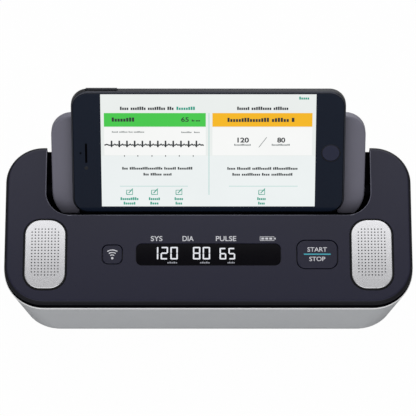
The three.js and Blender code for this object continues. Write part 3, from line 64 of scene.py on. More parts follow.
DECK_LENGTH = 96.8
DECK_SLOPE = math.radians(24)
DECK_HEIGHT = 28
DECK_CORNERS = (23, 21.5)
DECK_EDGE = 2.5
SKIRT = 7.5
DECK_WALL = 2.4
RIM_PROUD = 0.4
RIM_WALL = 3
BASE_SIDE = 11.5
BASE_FRONT = 3.4
BASE_DEPTH = 96.6
BASE_WALL = 2.5
BASE_EDGE = 3
FOOT_HEIGHT = 1.5
FLOOR_TOP = 3.5
FIT = 0.3
OVERRUN = 1
BASE_MIDDLE = BASE_FRONT + BASE_DEPTH / 2
RIM_LEVEL = -SKIRT - FIT

# Recess and stand
NOTCH_HALF = 94
NOTCH_FRONT = 54.6
NOTCH_CORNER = 14
NOTCH_LIP = 0.8
TUB_WALL = 2
TROUGH_RADIUS = 16.68
RECESS_FLOOR = 8
HINGE_UP_DECK = 71.28
HINGE_SINK = 4
HINGE_LINE = (HINGE_UP_DECK, -HINGE_SINK)
STAND_LEAN = math.radians(72)
STAND_HALF = 90.5
STAND_TOP = 48.8
STAND_FOOT = -14.2
STAND_FOOT_RADIUS = 20
STAND_FOOT_CENTRE = -0.4
STAND_TOP_RADIUS = 12.2
STAND_FACE = 3
SEAT_DROP = 9.8
STOP_GAP = 0.5

# Controls on the deck
CONTROL_ROW = 30
PAD_X = 94
PAD_SIZE = (23.2, 41.7)
PAD_RADIUS = 9
PAD_PROUD = 0.7
PAD_SINK = 0.9
WINDOW_SIZE = (82.9, 12.9)
WINDOW_RADIUS = 3.2
WINDOW_DEPTH = 1
START_X = 62.6
START_SIZE = (23.1, 17)
START_RADIUS = 4.8
LINK_X = -55.3
LINK_SIZE = (11.2, 11.2)
LINK_RADIUS = 3.2
BUTTON_GROOVE = 0.5
BUTTON_PROUD = 0.2

# Handset
HANDSET_SIZE = (157, 77.4)
HANDSET_FACE = 7.1
HANDSET_CORNER = 9.5
GLASS_INSET = 1.1
GLASS_CORNER = 8.4
GLASS_BACK = 6.2

CORNER_STEPS = 16
WALL_STRIPS = 12
EDGE_STEPS = 4
ROUND_SIDES = 64
TOUCH = 0.01
CREASE = math.radians(32)


# Frames: each takes millimetres in a piece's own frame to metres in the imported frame
def moved(x, y=0, z=0):
    return Matrix.Translation((x, y, z))


joint_of = {joint["name"]: joint for joint in frame["joints"]}
HINGE = moved(*joint_of["stand_fold"]["pos_m"])
MILLIMETRES = Matrix.Scale(0.001, 4)
SLOPE = Matrix.Rotation(DECK_SLOPE, 4, "X")
DECK = HINGE @ SLOPE @ MILLIMETRES @ moved(0, -HINGE_UP_DECK, HINGE_SINK)
CASE = moved(0, DECK.translation.y) @ MILLIMETRES
STAND = HINGE @ Matrix.Rotation(STAND_LEAN, 4, "X") @ MILLIMETRES
HANDSET = STAND @ moved(0, -SEAT_DROP, STAND_FACE + FIT)
DECK_IN_CASE = moved(0, 0, DECK_HEIGHT) @ SLOPE
DECK_AREA = (-CASE_WIDTH / 2, CASE_WIDTH / 2, 0, DECK_LENGTH)
SIDES = ((-1, "left"), (1, "right"))


# Modelling steps, as by hand
def make_active(piece):
    bpy.ops.object.select_all(action="DESELECT")
    piece.select_set(True)
    bpy.context.view_layer.objects.active = piece


def settle(piece, place=None):
    if place is not None:
        piece.matrix_world = place @ piece.matrix_world
    make_active(piece)
    bpy.ops.object.transform_apply(location=True, rotation=True, scale=True)
    return piece


def pick(piece, kind, wanted):
    """Opens the piece in edit mode with only the wanted corners, edges or faces selected."""
    make_active(piece)
    bpy.ops.object.mode_set(mode="EDIT")
    bpy.ops.mesh.select_mode(type=kind)
    bpy.ops.mesh.select_all(action="DESELECT")
    shape = bmesh.from_edit_mesh(piece.data)
    shape.normal_update()
    for element in {"VERT": shape.verts, "EDGE": shape.edges, "FACE": shape.faces}[kind]:
        if wanted(element):
            element.select_set(True)
    bmesh.update_edit_mesh(piece.data)
    return shape


def leave():
    bpy.ops.object.mode_set(mode="OBJECT")


def extents(corners):
    """The lowest and highest that the corners reach."""
    places = [corner.co for corner in corners]
    return (Vector([min(place[i] for place in places) for i in range(3)]),
            Vector([max(place[i] for place in places) for i in range(3)]))


def upright(edge):
    step = edge.verts[1].co - edge.verts[0].co
    return abs(step.z) > 0.99 * step.length


def level_with(height):
    return lambda edge: all(abs(corner.co.z - height) < TOUCH for corner in edge.verts)


def round_edges(piece, wanted, radius, steps=EDGE_STEPS):
    pick(piece, "EDGE", wanted)
    bpy.ops.mesh.bevel(offset=radius, offset_type="OFFSET", segments=steps, profile=0.5, affect="EDGES",
                       clamp_overlap=False)
    bpy.ops.mesh.select_all(action="SELECT")
    bpy.ops.mesh.remove_doubles(threshold=TOUCH / 10)
    leave()


def plate(name, area, low, high, corners=0, top=0, bottom=0, steps=CORNER_STEPS):
    """A flat block with round upright corners, and round edges on top and below."""
    left, right, front, back = area
    middle = (front + back) / 2
    bpy.ops.mesh.primitive_cube_add(
        size=1,
        location=((left + right) / 2, middle, (low + high) / 2),
        scale=(right - left, back - front, high - low),
    )
    piece = settle(bpy.context.active_object)
    piece.name = name
    if isinstance(corners, tuple):
        for radius, side in zip(corners, (-1, 1)):
            if radius:
                round_edges(piece, lambda edge: upright(edge) and (edge.verts[0].co.y - middle) * side > 0,
                            radius, steps)
    elif corners:
        round_edges(piece, upright, corners, steps)
    if top:
        round_edges(piece, level_with(high), top)
    if bottom:
        round_edges(piece, level_with(low), bottom)
    return piece


def bar(name, axis, centre, radius, low, high, rim=0, sides=ROUND_SIDES):
    """A round bar along X, Y or Z. Its centre holds the two other coordinates, in order."""
    place = list(centre)
    place.insert("XYZ".index(axis), (low + high) / 2)
    turn = {"X": (0, math.pi / 2, 0), "Y": (math.pi / 2, 0, 0), "Z": (0, 0, 0)}[axis]
    bpy.ops.mesh.primitive_cylinder_add(vertices=sides, radius=radius, depth=high - low, location=place,
                                        rotation=turn)
    piece = settle(bpy.context.active_object)
    piece.name = name
    if rim:
        round_edges(piece, lambda edge: any(len(face.verts) > 4 for face in edge.link_faces), rim, 3)
    return piece


def span(side, near, far):
    """From near to far on one side of the middle, the lower end first."""
    return sorted((side * near, side * far))


def facing_out(side, y=0, z=0):
    """Turns a flat piece to face out to one side, with its middle at y and z."""
    return Matrix(((0, 0, side, 0), (1, 0, 0, y), (0, 1, 0, z), (0, 0, 0, 1)))


def combine(piece, operation, tools):
    for tool in tools:
        step = piece.modifiers.new(operation.lower(), "BOOLEAN")
        step.operation = operation
        step.solver = "EXACT"
        step.object = tool
        make_active(piece)
        bpy.ops.object.modifier_apply(modifier=step.name)
        bpy.data.objects.remove(tool)
    return piece


def carve(piece, *tools):
    return combine(piece, "DIFFERENCE", tools)


def fuse(piece, *tools):
    return combine(piece, "UNION", tools)


def keep_inside(piece, *tools):
    return combine(piece, "INTERSECT", tools)


def group(name, pieces):
    """Several separate solids as one piece."""
    bpy.ops.object.select_all(action="DESELECT")
    for piece in pieces:
        piece.select_set(True)
    bpy.context.view_layer.objects.active = pieces[0]
    bpy.ops.object.join()
    pieces[0].name = name
    return pieces[0]


def add(name, data):
    thing = bpy.data.objects.new(name, data)
    bpy.context.scene.collection.objects.link(thing)
    return thing


def paint(piece, rule, *finishes):
    """Gives each face the finish whose number the rule returns."""
    for finish in finishes:
        piece.data.materials.append(finish)
    for face in piece.data.polygons:
        face.material_index = int(rule(face))


def dress(piece, place, body, slot, *nodes, finish=None):
    """Puts a finished piece in its place, smooths it and gives it its finish and body; the slot chooses the finish
    when none is given.
    """
    settle(piece, place)
    make_active(piece)
    bpy.ops.object.shade_smooth_by_angle(angle=CREASE)
    shading = piece.modifiers.new("shading", "WEIGHTED_NORMAL")
    shading.keep_sharp = True
    bpy.ops.object.modifier_apply(modifier=shading.name)
    if not piece.data.materials:
        piece.data.materials.append(finish or FINISH[slot])
    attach(piece, body)
    if nodes:
        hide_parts(*nodes)


def around(x, y, size):
    return (x - size[0] / 2, x + size[0] / 2, y - size[1] / 2, y + size[1] / 2)


def grown(area, by):
    return (area[0] - by, area[1] + by, area[2] - by, area[3] + by)


def stroke(name, points, width, height, base):
    """A flat line of one width through the points, lying at a height."""
    curve = bpy.data.curves.new(name, "CURVE")
    curve.dimensions = "3D"
    curve.bevel_depth = width / 2
    curve.bevel_resolution = 2
    curve.use_fill_caps = True
    line = curve.splines.new("POLY")
    line.points.add(len(points) - 1)
    for place, (x, y) in zip(line.points, points):
        place.co = (x, y, 0, 1)
    piece = add(name, curve)
    make_active(piece)
    bpy.ops.object.convert(target="MESH")
    flatten = Matrix.Diagonal((1, 1, height / width, 1))
    return settle(piece, moved(0, 0, base + height / 2) @ flatten)


def arc_points(x, y, radius, start, end, count=18):
    turns = [math.radians(start + (end - start) * i / count) for i in range(count + 1)]
    return [(x + radius * math.cos(turn), y + radius * math.sin(turn)) for turn in turns]


def lettering(name, words, area, base, thickness, weight=0.012):
    """Raised letters that fill an area: left, right, low, high."""
    bpy.ops.object.text_add()
    text = bpy.context.active_object
    text.name = name
    text.data.body = words
    text.data.offset = weight
    text.data.extrude = 0.02
    bpy.ops.object.convert(target="MESH")
    low, high = extents(text.data.vertices)
    left, right, front, back = area
    scale = ((right - left) / (high.x - low.x), (back - front) / (high.y - low.y),
             thickness / (high.z - low.z))
    return settle(text, moved(left, front, base) @ Matrix.Diagonal((*scale, 1)) @ moved(*(-low)))


# Finishes
def shaded(tone, by):
    """A colour written as 0 to 255, as the renderer needs it, and lighter or darker by a factor."""
    shares = [channel / 255 for channel in tone]
    return tuple(by * (share / 12.92 if share <= 0.04045 else ((share + 0.055) / 1.055) ** 2.4)
                 for share in shares) + (1.0,)


def noise(tree, mapping, scale, detail):
    node = tree.nodes.new("ShaderNodeTexNoise")
    node.inputs["Scale"].default_value = scale
    node.inputs["Detail"].default_value = detail
    tree.links.new(mapping.outputs["Vector"], node.inputs["Vector"])
    return node.outputs["Fac"]


def vary_tone(tree, tone, by, pattern, socket):
    """Feeds a socket with a tone that is lighter and darker by a share, as a pattern says."""
    mix = tree.nodes.new("ShaderNodeMix")
    mix.data_type = "RGBA"
    mix.inputs[6].default_value = shaded(tone, 1 - by)
    mix.inputs[7].default_value = shaded(tone, 1 + by)
    tree.links.new(pattern, mix.inputs[0])
    tree.links.new(mix.outputs[2], socket)


def surface(name, tone, roughness, metallic=0.0, vary=0.05, mottle=40, grain=1400, relief=0.05, coat=0.0,
            stretch=(1, 1, 1), shine=0.5, uneven=0.06):
    """A plain or metallic finish whose tone (0 to 255), gloss and fine relief vary over the piece."""
    finish = bpy.data.materials.new(name)
    finish.use_nodes = True
    tree = finish.node_tree
    nodes, links = tree.nodes, tree.links
    shader = nodes["Principled BSDF"]
    shader.inputs["Metallic"].default_value = metallic
    shader.inputs["Coat Weight"].default_value = coat
    shader.inputs["Specular IOR Level"].default_value = shine
    places = nodes.new("ShaderNodeTexCoord")
    mapping = nodes.new("ShaderNodeMapping")
    mapping.inputs["Scale"].default_value = stretch
    links.new(places.outputs["Object"], mapping.inputs["Vector"])
    vary_tone(tree, tone, vary, noise(tree, mapping, mottle, 4), shader.inputs["Base Color"])
    fine = noise(tree, mapping, grain, 3)
    gloss = nodes.new("ShaderNodeMapRange")
    gloss.inputs["To Min"].default_value = max(0.02, roughness - uneven)
    gloss.inputs["To Max"].default_value = roughness + uneven
    links.new(fine, gloss.inputs["Value"])
    links.new(gloss.outputs["Result"], shader.inputs["Roughness"])
    bump = nodes.new("ShaderNodeBump")
    bump.inputs["Strength"].default_value = relief
    bump.inputs["Distance"].default_value = 0.0002
    links.new(fine, bump.inputs["Height"])
    links.new(bump.outputs["Normal"], shader.inputs["Normal"])
    return finish


def glowing(name, tone):
    """A lit mark or a lit part of a screen, with the faint unevenness of a backlight."""
    finish = surface(name, (0, 0, 0), 0.3, vary=0, relief=0, shine=0.1)
    nodes = finish.node_tree.nodes
    shader = nodes["Principled BSDF"]
    vary_tone(finish.node_tree, tone, 0.03, nodes["Noise Texture"].outputs["Fac"],
              shader.inputs["Emission Color"])
    shader.inputs["Emission Strength"].default_value = 1
    return finish


FINISH = {
    "deck_plastic": surface("satin_charcoal", (24, 24, 45), 0.3, vary=0.04, shine=0.33),
    "base_plastic": surface("satin_grey", (180, 182, 185), 0.45, vary=0.02, relief=0.03, shine=0.35),
    "stand_plastic": surface("satin_slate", (110, 109, 122), 0.5, vary=0.03, shine=0.3),
    "black_rubber": surface("black_rubber", (16, 16, 19), 0.75, relief=0.12, shine=0.2),
    "lead_sleeve": surface("lead_sleeve", (24, 24, 27), 0.55),
    "screw_steel": surface("zinc_steel", (190, 192, 196), 0.3, 1.0, stretch=(1, 12, 1)),
    "electrode_metal": surface("electrode_plate", (220, 220, 223), 0.18, 0.82, vary=0.02, grain=2200,
                               relief=0.008, stretch=(1, 6, 6), uneven=0.015),
    "window_plastic": surface("window_black", (6, 5, 10), 0.08, vary=0.02, relief=0, shine=0.08),
    "black_plastic": surface("black_plastic", (20, 20, 23), 0.5, shine=0.3),
    "board_laminate": surface("board_green", (26, 82, 52), 0.4, vary=0.12, mottle=300),
    "chip_black": surface("chip_black", (22, 22, 25), 0.5),
    "shield_can": surface("tinned_can", (178, 180, 184), 0.35, 1.0),
    "air_tube": surface("milky_tube", (202, 206, 210), 0.35),
    "cell_can": surface("cell_sleeve", (58, 108, 150), 0.3, 0.2, coat=0.3),
    "contact_brass": surface("plated_brass", (184, 164, 104), 0.3, 1.0),
    "handset_metal": surface("handset_metal", (24, 26, 33), 0.4, 0.6, vary=0.03, grain=2600, shine=0.3),
    "handset_glass": surface("handset_glass", (22, 29, 43), 0.06, vary=0.02, relief=0, shine=0.15),
    "home_button_gloss": surface("home_button", (36, 39, 60), 0.12, vary=0.02, relief=0, shine=0.3),
}
# Painted shade: the thumb pads' dimples are darker and less metallic than the pad, for the shade in these small
# hollows
DIMPLE_SHADE = surface("painted_dimple_shade", (92, 92, 96), 0.6, 0.3)
# Near-black: the real black of the ear mesh and light sensor, and painted shade in the deck's recess, on its
# skirt, on the stand's ledge and on the hinge bushes
BLACK_AND_SHADE = surface("black_and_painted_shade", (7, 7, 10), 0.8, shine=0)
# Blackened steel on the hinge pins; on the lower part of the deck's round edge the same dark tone is painted
# shade, in place of the lamp's reflection there
BLACKENED_AND_EDGE_SHADE = surface("blackened_and_edge_shade", (14, 14, 22), 0.6, shine=0.2)
# Lighter grey: a painted highlight along the notch's rounded lip, and the real grey of the handset's antenna seams
LIP_HIGHLIGHT_AND_SEAM_GREY = surface("lip_highlight_and_seam_grey", (108, 108, 122), 0.45, vary=0.06, shine=0.4)
# Painted highlight: near-white along the base's rounded top rim, where it catches the light
RIM_HIGHLIGHT = surface("painted_rim_highlight", (250, 250, 252), 0.3, vary=0.01, shine=0.9)
CHAMFER = surface("polished_chamfer", (66, 68, 76), 0.3, 0.9, vary=0.03)
LABEL = surface("printed_label", (208, 208, 214), 0.5, vary=0.02, relief=0)
TEAL_LINE = surface("printed_teal", (62, 172, 190), 0.5, vary=0.02, relief=0)
RING = surface("button_ring", (14, 16, 28), 0.3, shine=0.3)
LENS = surface("lens_glass", (10, 12, 20), 0.04, vary=0.02, relief=0)
LIT_DIGIT = glowing("lit_digit", (232, 234, 240))
LIT_UNIT = glowing("lit_unit", (150, 152, 160))
SCREEN_WHITE = glowing("screen_white", (234, 238, 236))
SCREEN_PANEL = glowing("screen_panel", (246, 247, 246))
SCREEN_PALE = glowing("screen_pale", (236, 241, 241))
SCREEN_GREEN = glowing("screen_green", (74, 200, 79))
SCREEN_AMBER = glowing("screen_amber", (245, 184, 39))
SCREEN_INK = glowing("screen_ink", (52, 56, 58))
SCREEN_SOFT_INK = glowing("screen_soft_ink", (128, 134, 134))
SCREEN_TEAL = glowing("screen_teal", (46, 158, 134))
SCREEN_RULE = glowing("screen_rule", (176, 214, 208))

slot_of = {row["node"]: row["material_slot"] for row in frame["record"]["subparts"]}
for node, solid in frame["nodes"].items():
    solid.data.materials.clear()
    solid.data.materials.append(FINISH[slot_of[node]])


# Case
PAD_SEAT = 1.1
BUSH_HOLE = 2.9
NOTCH_CHEEK = 3.1
HOLE_EDGE = 0.15
RIM_EDGE = 0.4
SHARP = math.radians(60)
LONG_EDGE = 40

# How far up a face looks that counts as flat, steep, downward or part of a round edge or rim
FLAT = 0.98
STEEP = 0.5
DOWNWARD = -0.8
EDGE_TILTS = (0.05, 0.9)
EDGE_START = 0.2
RIM_SIDE_TILT = 0.6
RIM_TOP_TILT = 0.1


def recess_form(name, grow, top, back):
    """The stand's recess: open at the back, with a trough round the hinge, within the notch's plan."""
    wide = CASE_WIDTH / 2
    form = bar(name, "X", HINGE_LINE, TROUGH_RADIUS + grow, -wide, wide, sides=96)
    before_stand = plate("before_stand", (-CASE_WIDTH, CASE_WIDTH, -DECK_LENGTH, DECK_LENGTH),
                         -STAND_FACE - STOP_GAP - grow, DECK_LENGTH)
    lean = moved(0, *HINGE_LINE) @ Matrix.Rotation(STAND_LEAN - DECK_SLOPE, 4, "X")
    keep_inside(form, settle(before_stand, lean))
    front = NOTCH_FRONT - grow - OVERRUN
    fuse(form,
         plate("recess_front", (-wide, wide, front, HINGE_UP_DECK), -HINGE_SINK, top + OVERRUN),
         plate("recess_back", (-wide, wide, HINGE_UP_DECK - OVERRUN, back + OVERRUN),
               -RECESS_FLOOR - grow, top + OVERRUN))
    side = NOTCH_HALF + grow
    plan = plate("notch_plan", (-side, side, NOTCH_FRONT - grow, back),
                 -HINGE_SINK - TROUGH_RADIUS - grow - OVERRUN, top, (NOTCH_CORNER + grow, 0))
    return keep_inside(form, plan)


def opening(x, size, radius, grow, floor):
    """A hole in the row of controls, larger all round than what goes into it."""
    return plate("hole", grown(around(x, CONTROL_ROW, size), grow), floor, OVERRUN, radius + grow)


def deck_shell():
    shell = plate("deck_shell", DECK_AREA, -SKIRT, 0, DECK_CORNERS, top=DECK_EDGE)
    hollow = plate("hollow", grown(DECK_AREA, -DECK_WALL), -SKIRT - OVERRUN, -DECK_WALL,
                   tuple(radius - DECK_WALL for radius in DECK_CORNERS))
    carve(shell, hollow)
    fuse(shell, recess_form("tub", TUB_WALL, -DECK_WALL + FIT / 2, DECK_LENGTH))
    carve(shell, recess_form("recess", 0, OVERRUN, DECK_LENGTH + 2 * OVERRUN))
    through = -DECK_WALL - OVERRUN
    holes = [
        opening(START_X, START_SIZE, START_RADIUS, BUTTON_GROOVE, through),
        opening(LINK_X, LINK_SIZE, LINK_RADIUS, BUTTON_GROOVE, through),
        opening(0, WINDOW_SIZE, WINDOW_RADIUS, FIT, -WINDOW_DEPTH - FIT),
    ]
    for side in (-1, 1):
        holes.append(opening(side * PAD_X, PAD_SIZE, PAD_RADIUS, PAD_SEAT, -PAD_SINK - FIT))
        reach = span(side, NOTCH_HALF - OVERRUN, NOTCH_HALF + NOTCH_CHEEK)
        holes.append(bar("hole", "X", HINGE_LINE, BUSH_HOLE, *reach, sides=32))
    carve(shell, *holes)
    top_level = level_with(0)

    def is_top_edge(edge, in_notch):
        return (top_level(edge) and edge.calc_face_angle(0) > SHARP
                and (edge.verts[0].co.y > NOTCH_FRONT - OVERRUN) == in_notch)

    round_edges(shell, lambda edge: is_top_edge(edge, False), HOLE_EDGE, 2)
    round_edges(shell, lambda edge: is_top_edge(edge, True), NOTCH_LIP)

    def finish_number(face):
        side, y, z = abs(face.center.x), face.center.y, face.center.z
        up = face.normal.z
        # Painted shade: the faces inside the recess and on the skirt take the near-black finish
        in_recess = side < NOTCH_HALF + TOUCH and y > NOTCH_FRONT - TOUCH and z < TOUCH - NOTCH_LIP
        # Painted highlight: the rounded lip round the notch takes a lighter finish
        on_lip = (side < NOTCH_HALF + NOTCH_LIP and y > NOTCH_FRONT - NOTCH_LIP and z > TOUCH - NOTCH_LIP
                  and up < FLAT)
        on_skirt = z < -DECK_EDGE and abs(up) < STEEP
        # Painted shade: the lower segments of the round outer edge are painted dark, in place of the lamp's
        # reflection
        on_edge = -DECK_EDGE < z < -EDGE_START and EDGE_TILTS[0] < up < EDGE_TILTS[1]
        return 2 if on_lip else 1 if in_recess or on_skirt else 3 if on_edge else 0

    paint(shell, finish_number, FINISH["deck_plastic"], BLACK_AND_SHADE, LIP_HIGHLIGHT_AND_SEAM_GREY, BLACKENED_AND_EDGE_SHADE)
    dress(shell, DECK, "case", "deck_plastic", "upper_case")


def base_form(name, grow, rim, floor, inset, edge=0):
    """A body that narrows from the deck's outline, on its slope, to the base's outline on the level."""
    area = grown(DECK_AREA, grow)
    form = plate(name, area, -DECK_LENGTH / 2, rim, tuple(radius + grow for radius in DECK_CORNERS))
    pick(form, "EDGE", lambda edge: edge.calc_length() > LONG_EDGE and not upright(edge))
    bpy.ops.mesh.subdivide(number_cuts=WALL_STRIPS - 1)
    leave()
    settle(form, DECK_IN_CASE)
    shape = pick(form, "FACE", lambda face: face.normal.z < DOWNWARD)
    low, high = extents(corner for corner in shape.verts if corner.select)
    middle = (low + high) / 2
    width = CASE_WIDTH - 2 * (BASE_SIDE + inset)
    depth = BASE_DEPTH - 2 * inset
    bpy.ops.transform.resize(value=(width / (high.x - low.x), depth / (high.y - low.y), 0),
                             center_override=middle)
    bpy.ops.transform.translate(value=Vector((0, BASE_MIDDLE, floor)) - middle)
    leave()
    if edge:
        round_edges(form, level_with(floor), edge, 6)
    return form


def outer_base(name):
    return base_form(name, RIM_PROUD, RIM_LEVEL, FOOT_HEIGHT, 0, BASE_EDGE)


CELL_SPACE = (-30.45, 30.45, 30, 87.3)
CELL_TOP = 19
CELL_WALL = 3
CELL_FRONT_WALL = 4.5
CELL_ROOF = 1.6
DOOR_OPENING = (-31.65, 31.65, 28.8, 88.5)
DOOR_CORNER = 1.2
DOOR_GAP = 0.4
TAB_X = 18
TAB_HALF = 4
TABS = (("tab", (27.4, 31.2), (3.8, 5)), ("root", (29.5, 31.2), (2.5, 4.5)))
RIDGES = 4
RIDGE_HALF = 14
RIDGE_BACK = 76
RIDGE_WIDTH = 1.2
RIDGE_PITCH = 3
RIDGE_DEPTH = 0.4
SCOOP_RADIUS = 10
SCOOP_HALF = 8
SCOOP_DROP = 8.8
FINGER_PLACE = (60, 27)
FINGER_SIZE = (30, 17)
FINGER_REACH = CASE_WIDTH / 2 + 5
FINGER_PLATE = 1.2
FINGER_SEAT = 1.5
FINGER_OUT = 0.5
AIR_JACK = (-80, 20)
POWER_JACK = (-52, 16)
JACK_HOLES = ((AIR_JACK, 6.8, 80), (POWER_JACK, 4.2, 85))
BEHIND = 110
SCREWS = {f"{end}_{name}": (side * x, y) for end, x, y in (("front", 94, 20), ("rear", 97.5, 76))
          for side, name in SIDES}
POST_RADIUS = 4
POST_TOP = 18
WELL_RADIUS = 3
WELL_TOP = 12
SHANK_HOLE = 1.7
SHANK_RADIUS = 1.4
SHANK = (11.5, 27.7)
HEAD_RADIUS = 2.7
HEAD = (9.7, 11.7)
CROSS = (3.4, 0.7)
CROSS_CUT = (9, 10.8)
SOUND_SLOTS = 5
SOUND_PLACE = (62, 34)
SLOT_SIZE = (1.4, 14)
SLOT_PITCH = 3.2
FOOT_X = 75
FOOT_SIZE = (9, 78)
FOOT_TOP = 1.8
FOOT_SEAT = 0.6


def finger_window(side, grow):
    """A stadium along X, through one sloping side."""
    window = plate("window", grown(around(0, 0, FINGER_SIZE), grow), 0, FINGER_REACH,
                   FINGER_SIZE[1] / 2 + grow - TOUCH)
    settle(window, facing_out(side, *FINGER_PLACE))
    pick(window, "FACE", lambda face: True)
    bpy.ops.mesh.normals_make_consistent(inside=False)
    leave()
    return window


def finger_scoop():
    return bar("scoop", "X", (DOOR_OPENING[3], FOOT_HEIGHT - SCOOP_DROP), SCOOP_RADIUS, -SCOOP_HALF,
               SCOOP_HALF)


def foot_area(side):
    return around(side * FOOT_X, BASE_MIDDLE, FOOT_SIZE)


def base_shell():
    shell = outer_base("base_shell")
    carve(shell, base_form("hollow", -RIM_WALL, OVERRUN + RIM_LEVEL, FLOOR_TOP, BASE_WALL))
    left, right, front, back = CELL_SPACE
    walls = (left - CELL_WALL, right + CELL_WALL, front - CELL_FRONT_WALL, back + CELL_WALL)
    fuse(shell, plate("compartment", walls, FLOOR_TOP - OVERRUN, CELL_TOP + CELL_ROOF))
    for place in SCREWS.values():
        fuse(shell, bar("post", "Z", place, POST_RADIUS, FLOOR_TOP - OVERRUN, POST_TOP, sides=32))
    carve(shell, plate("cells", CELL_SPACE, FLOOR_TOP - OVERRUN, CELL_TOP),
          plate("door", DOOR_OPENING, 0, FLOOR_TOP + FIT, DOOR_CORNER), finger_scoop())
    for place in SCREWS.values():
        carve(shell, bar("well", "Z", place, WELL_RADIUS, 0, WELL_TOP, sides=32),
              bar("well", "Z", place, SHANK_HOLE, 0, POST_TOP + OVERRUN, sides=24))
    carve(shell, *(bar("hole", "Y", place, radius, front, BEHIND) for place, radius, front in JACK_HOLES))
    x, y = SOUND_PLACE
    slots = [plate("slot", around(x + SLOT_PITCH * (i - (SOUND_SLOTS - 1) / 2), y, SLOT_SIZE), 0,
                   FLOOR_TOP + OVERRUN, SLOT_SIZE[0] / 2 - TOUCH, steps=6) for i in range(SOUND_SLOTS)]
    seats = [plate("seat", grown(foot_area(side), FIT), 0, FOOT_HEIGHT + FOOT_SEAT,
                   FOOT_SIZE[0] / 2 + FIT - TOUCH) for side in (-1, 1)]
    carve(shell, *slots, *seats)
    carve(shell, settle(recess_form("room", TUB_WALL + FIT, OVERRUN, DECK_LENGTH + 2 * OVERRUN),
                        DECK_IN_CASE))
    for side in (-1, 1):
        seat = keep_inside(finger_window(side, FIT), outer_base("outer"))
        fuse(seat, settle(add("outer_seat", seat.data.copy()), moved(side * FINGER_OUT)))
        inner = settle(outer_base("inner"), moved(-side * FINGER_SEAT))
        carve(shell, carve(seat, inner))
    rim_up = Vector((0, -math.sin(DECK_SLOPE), math.cos(DECK_SLOPE)))
    middle = Vector((0, BASE_MIDDLE, DECK_HEIGHT))

    def above_deck(place):
        return (place - Vector((0, 0, DECK_HEIGHT))).dot(rim_up)

    def on_rim(edge):
        return all(abs(above_deck(corner.co) - RIM_LEVEL) < TOUCH for corner in edge.verts) and any(
            abs(face.normal.dot(rim_up)) < RIM_SIDE_TILT
            and face.normal.dot(face.calc_center_median() - middle) > 0 for face in edge.link_faces)

    round_edges(shell, on_rim, RIM_EDGE, 3)

    # Painted highlight: the top of the base's rim, just under the deck's skirt, takes the near-white rim finish
    def on_ledge(face):
        return (above_deck(face.center) > RIM_LEVEL - RIM_EDGE - 2 * TOUCH
                and face.normal.dot(rim_up) > RIM_TOP_TILT)

    paint(shell, on_ledge, FINISH["base_plastic"], RIM_HIGHLIGHT)
    dress(shell, CASE, "case", "base_plastic", "lower_case")


def finger_electrode(side, name):
    face = keep_inside(finger_window(side, 0), outer_base("outer"))
    carve(face, settle(outer_base("inner"), moved(-side * FINGER_PLATE)))
    dress(face, CASE, "case", "electrode_metal", f"{name}_finger_electrode")


def battery_door():
    door = plate("battery_door_cover", grown(DOOR_OPENING, -DOOR_GAP), FOOT_HEIGHT, FLOOR_TOP,
                 DOOR_CORNER - DOOR_GAP, bottom=0.3)
    fuse(door, *(plate(name, (x - TAB_HALF, x + TAB_HALF, *run), *levels)
                 for name, run, levels in TABS for x in (-TAB_X, TAB_X)))
    ridges = []
    for i in range(RIDGES):
        half, y = RIDGE_HALF - i, RIDGE_BACK - RIDGE_PITCH * i
        ridges.append(plate("ridge", (-half, half, y, y + RIDGE_WIDTH), FOOT_HEIGHT - OVERRUN,
                            FOOT_HEIGHT + RIDGE_DEPTH, RIDGE_WIDTH / 2 - TOUCH, steps=5))
    carve(door, finger_scoop(), *ridges)
    dress(door, CASE, "door", "base_plastic", "battery_door")


def foot(side, name):
    strip = plate(f"{name}_foot_strip", foot_area(side), 0, FOOT_TOP, FOOT_SIZE[0] / 2 - TOUCH, bottom=0.4)
    dress(strip, CASE, "case", "black_rubber", f"{name}_foot")


def case_screw(name, place):
    head = bar(f"{name}_screw", "Z", place, HEAD_RADIUS, *HEAD, rim=0.3, sides=32)
    fuse(head, bar("shank", "Z", place, SHANK_RADIUS, *SHANK, sides=24))
    carve(head, *(plate("slot", around(*place, size), *CROSS_CUT) for size in (CROSS, CROSS[::-1])))
    dress(head, CASE, "case", "screw_steel", f"{name}_case_screw")


deck_shell()
base_shell()
battery_door()
for side, name in SIDES:
    finger_electrode(side, name)
    foot(side, name)
for name, place in SCREWS.items():
    case_screw(name, place)


# Controls
CAP_DEPTH = 3.9
FLANGE_DEPTH = 2.7
FLANGE_WIDTH = 1.4
GASKET_WIDTH = 0.9
GASKET_GAP = 0.15
DOT_ROWS = 16
DOT_COLUMNS = 9
DOT_PITCH = (1.9, 1.875)
DOT_MIDDLE = CONTROL_ROW + 1.25
DOT_RADIUS = 0.42
DOT_DEPTH = 0.35
DOTTED_HALF = (8.2, 14.7)
DIGIT_STROKE = 0.82
DIGIT_GAP = 0.12
DIGIT_BASE = 0.02
READING_LOW = 26.9
PRINT_GAP = 0.005
MARK_HEIGHT = 0.04
BUTTON_FACE = BUTTON_PROUD + PRINT_GAP
LABEL_ROW = 39.7
LABEL_HALF = 1.55
SEGMENTS = {"0": "abcdef", "1": "bc", "2": "abged", "5": "afgcd", "6": "afgedc", "8": "abcdefg"}


def button(name, x, size, corner, body, node):
    area = around(x, CONTROL_ROW, size)
    cap = plate(name, area, -CAP_DEPTH, BUTTON_PROUD, corner, top=0.5)
    fuse(cap, plate("flange", grown(area, FLANGE_WIDTH), -CAP_DEPTH, -FLANGE_DEPTH, corner + FLANGE_WIDTH))
    dress(cap, DECK, body, "deck_plastic", node)


def on_deck(piece, body, finish, slot="deck_plastic"):
    dress(piece, DECK, body, slot, finish=finish)


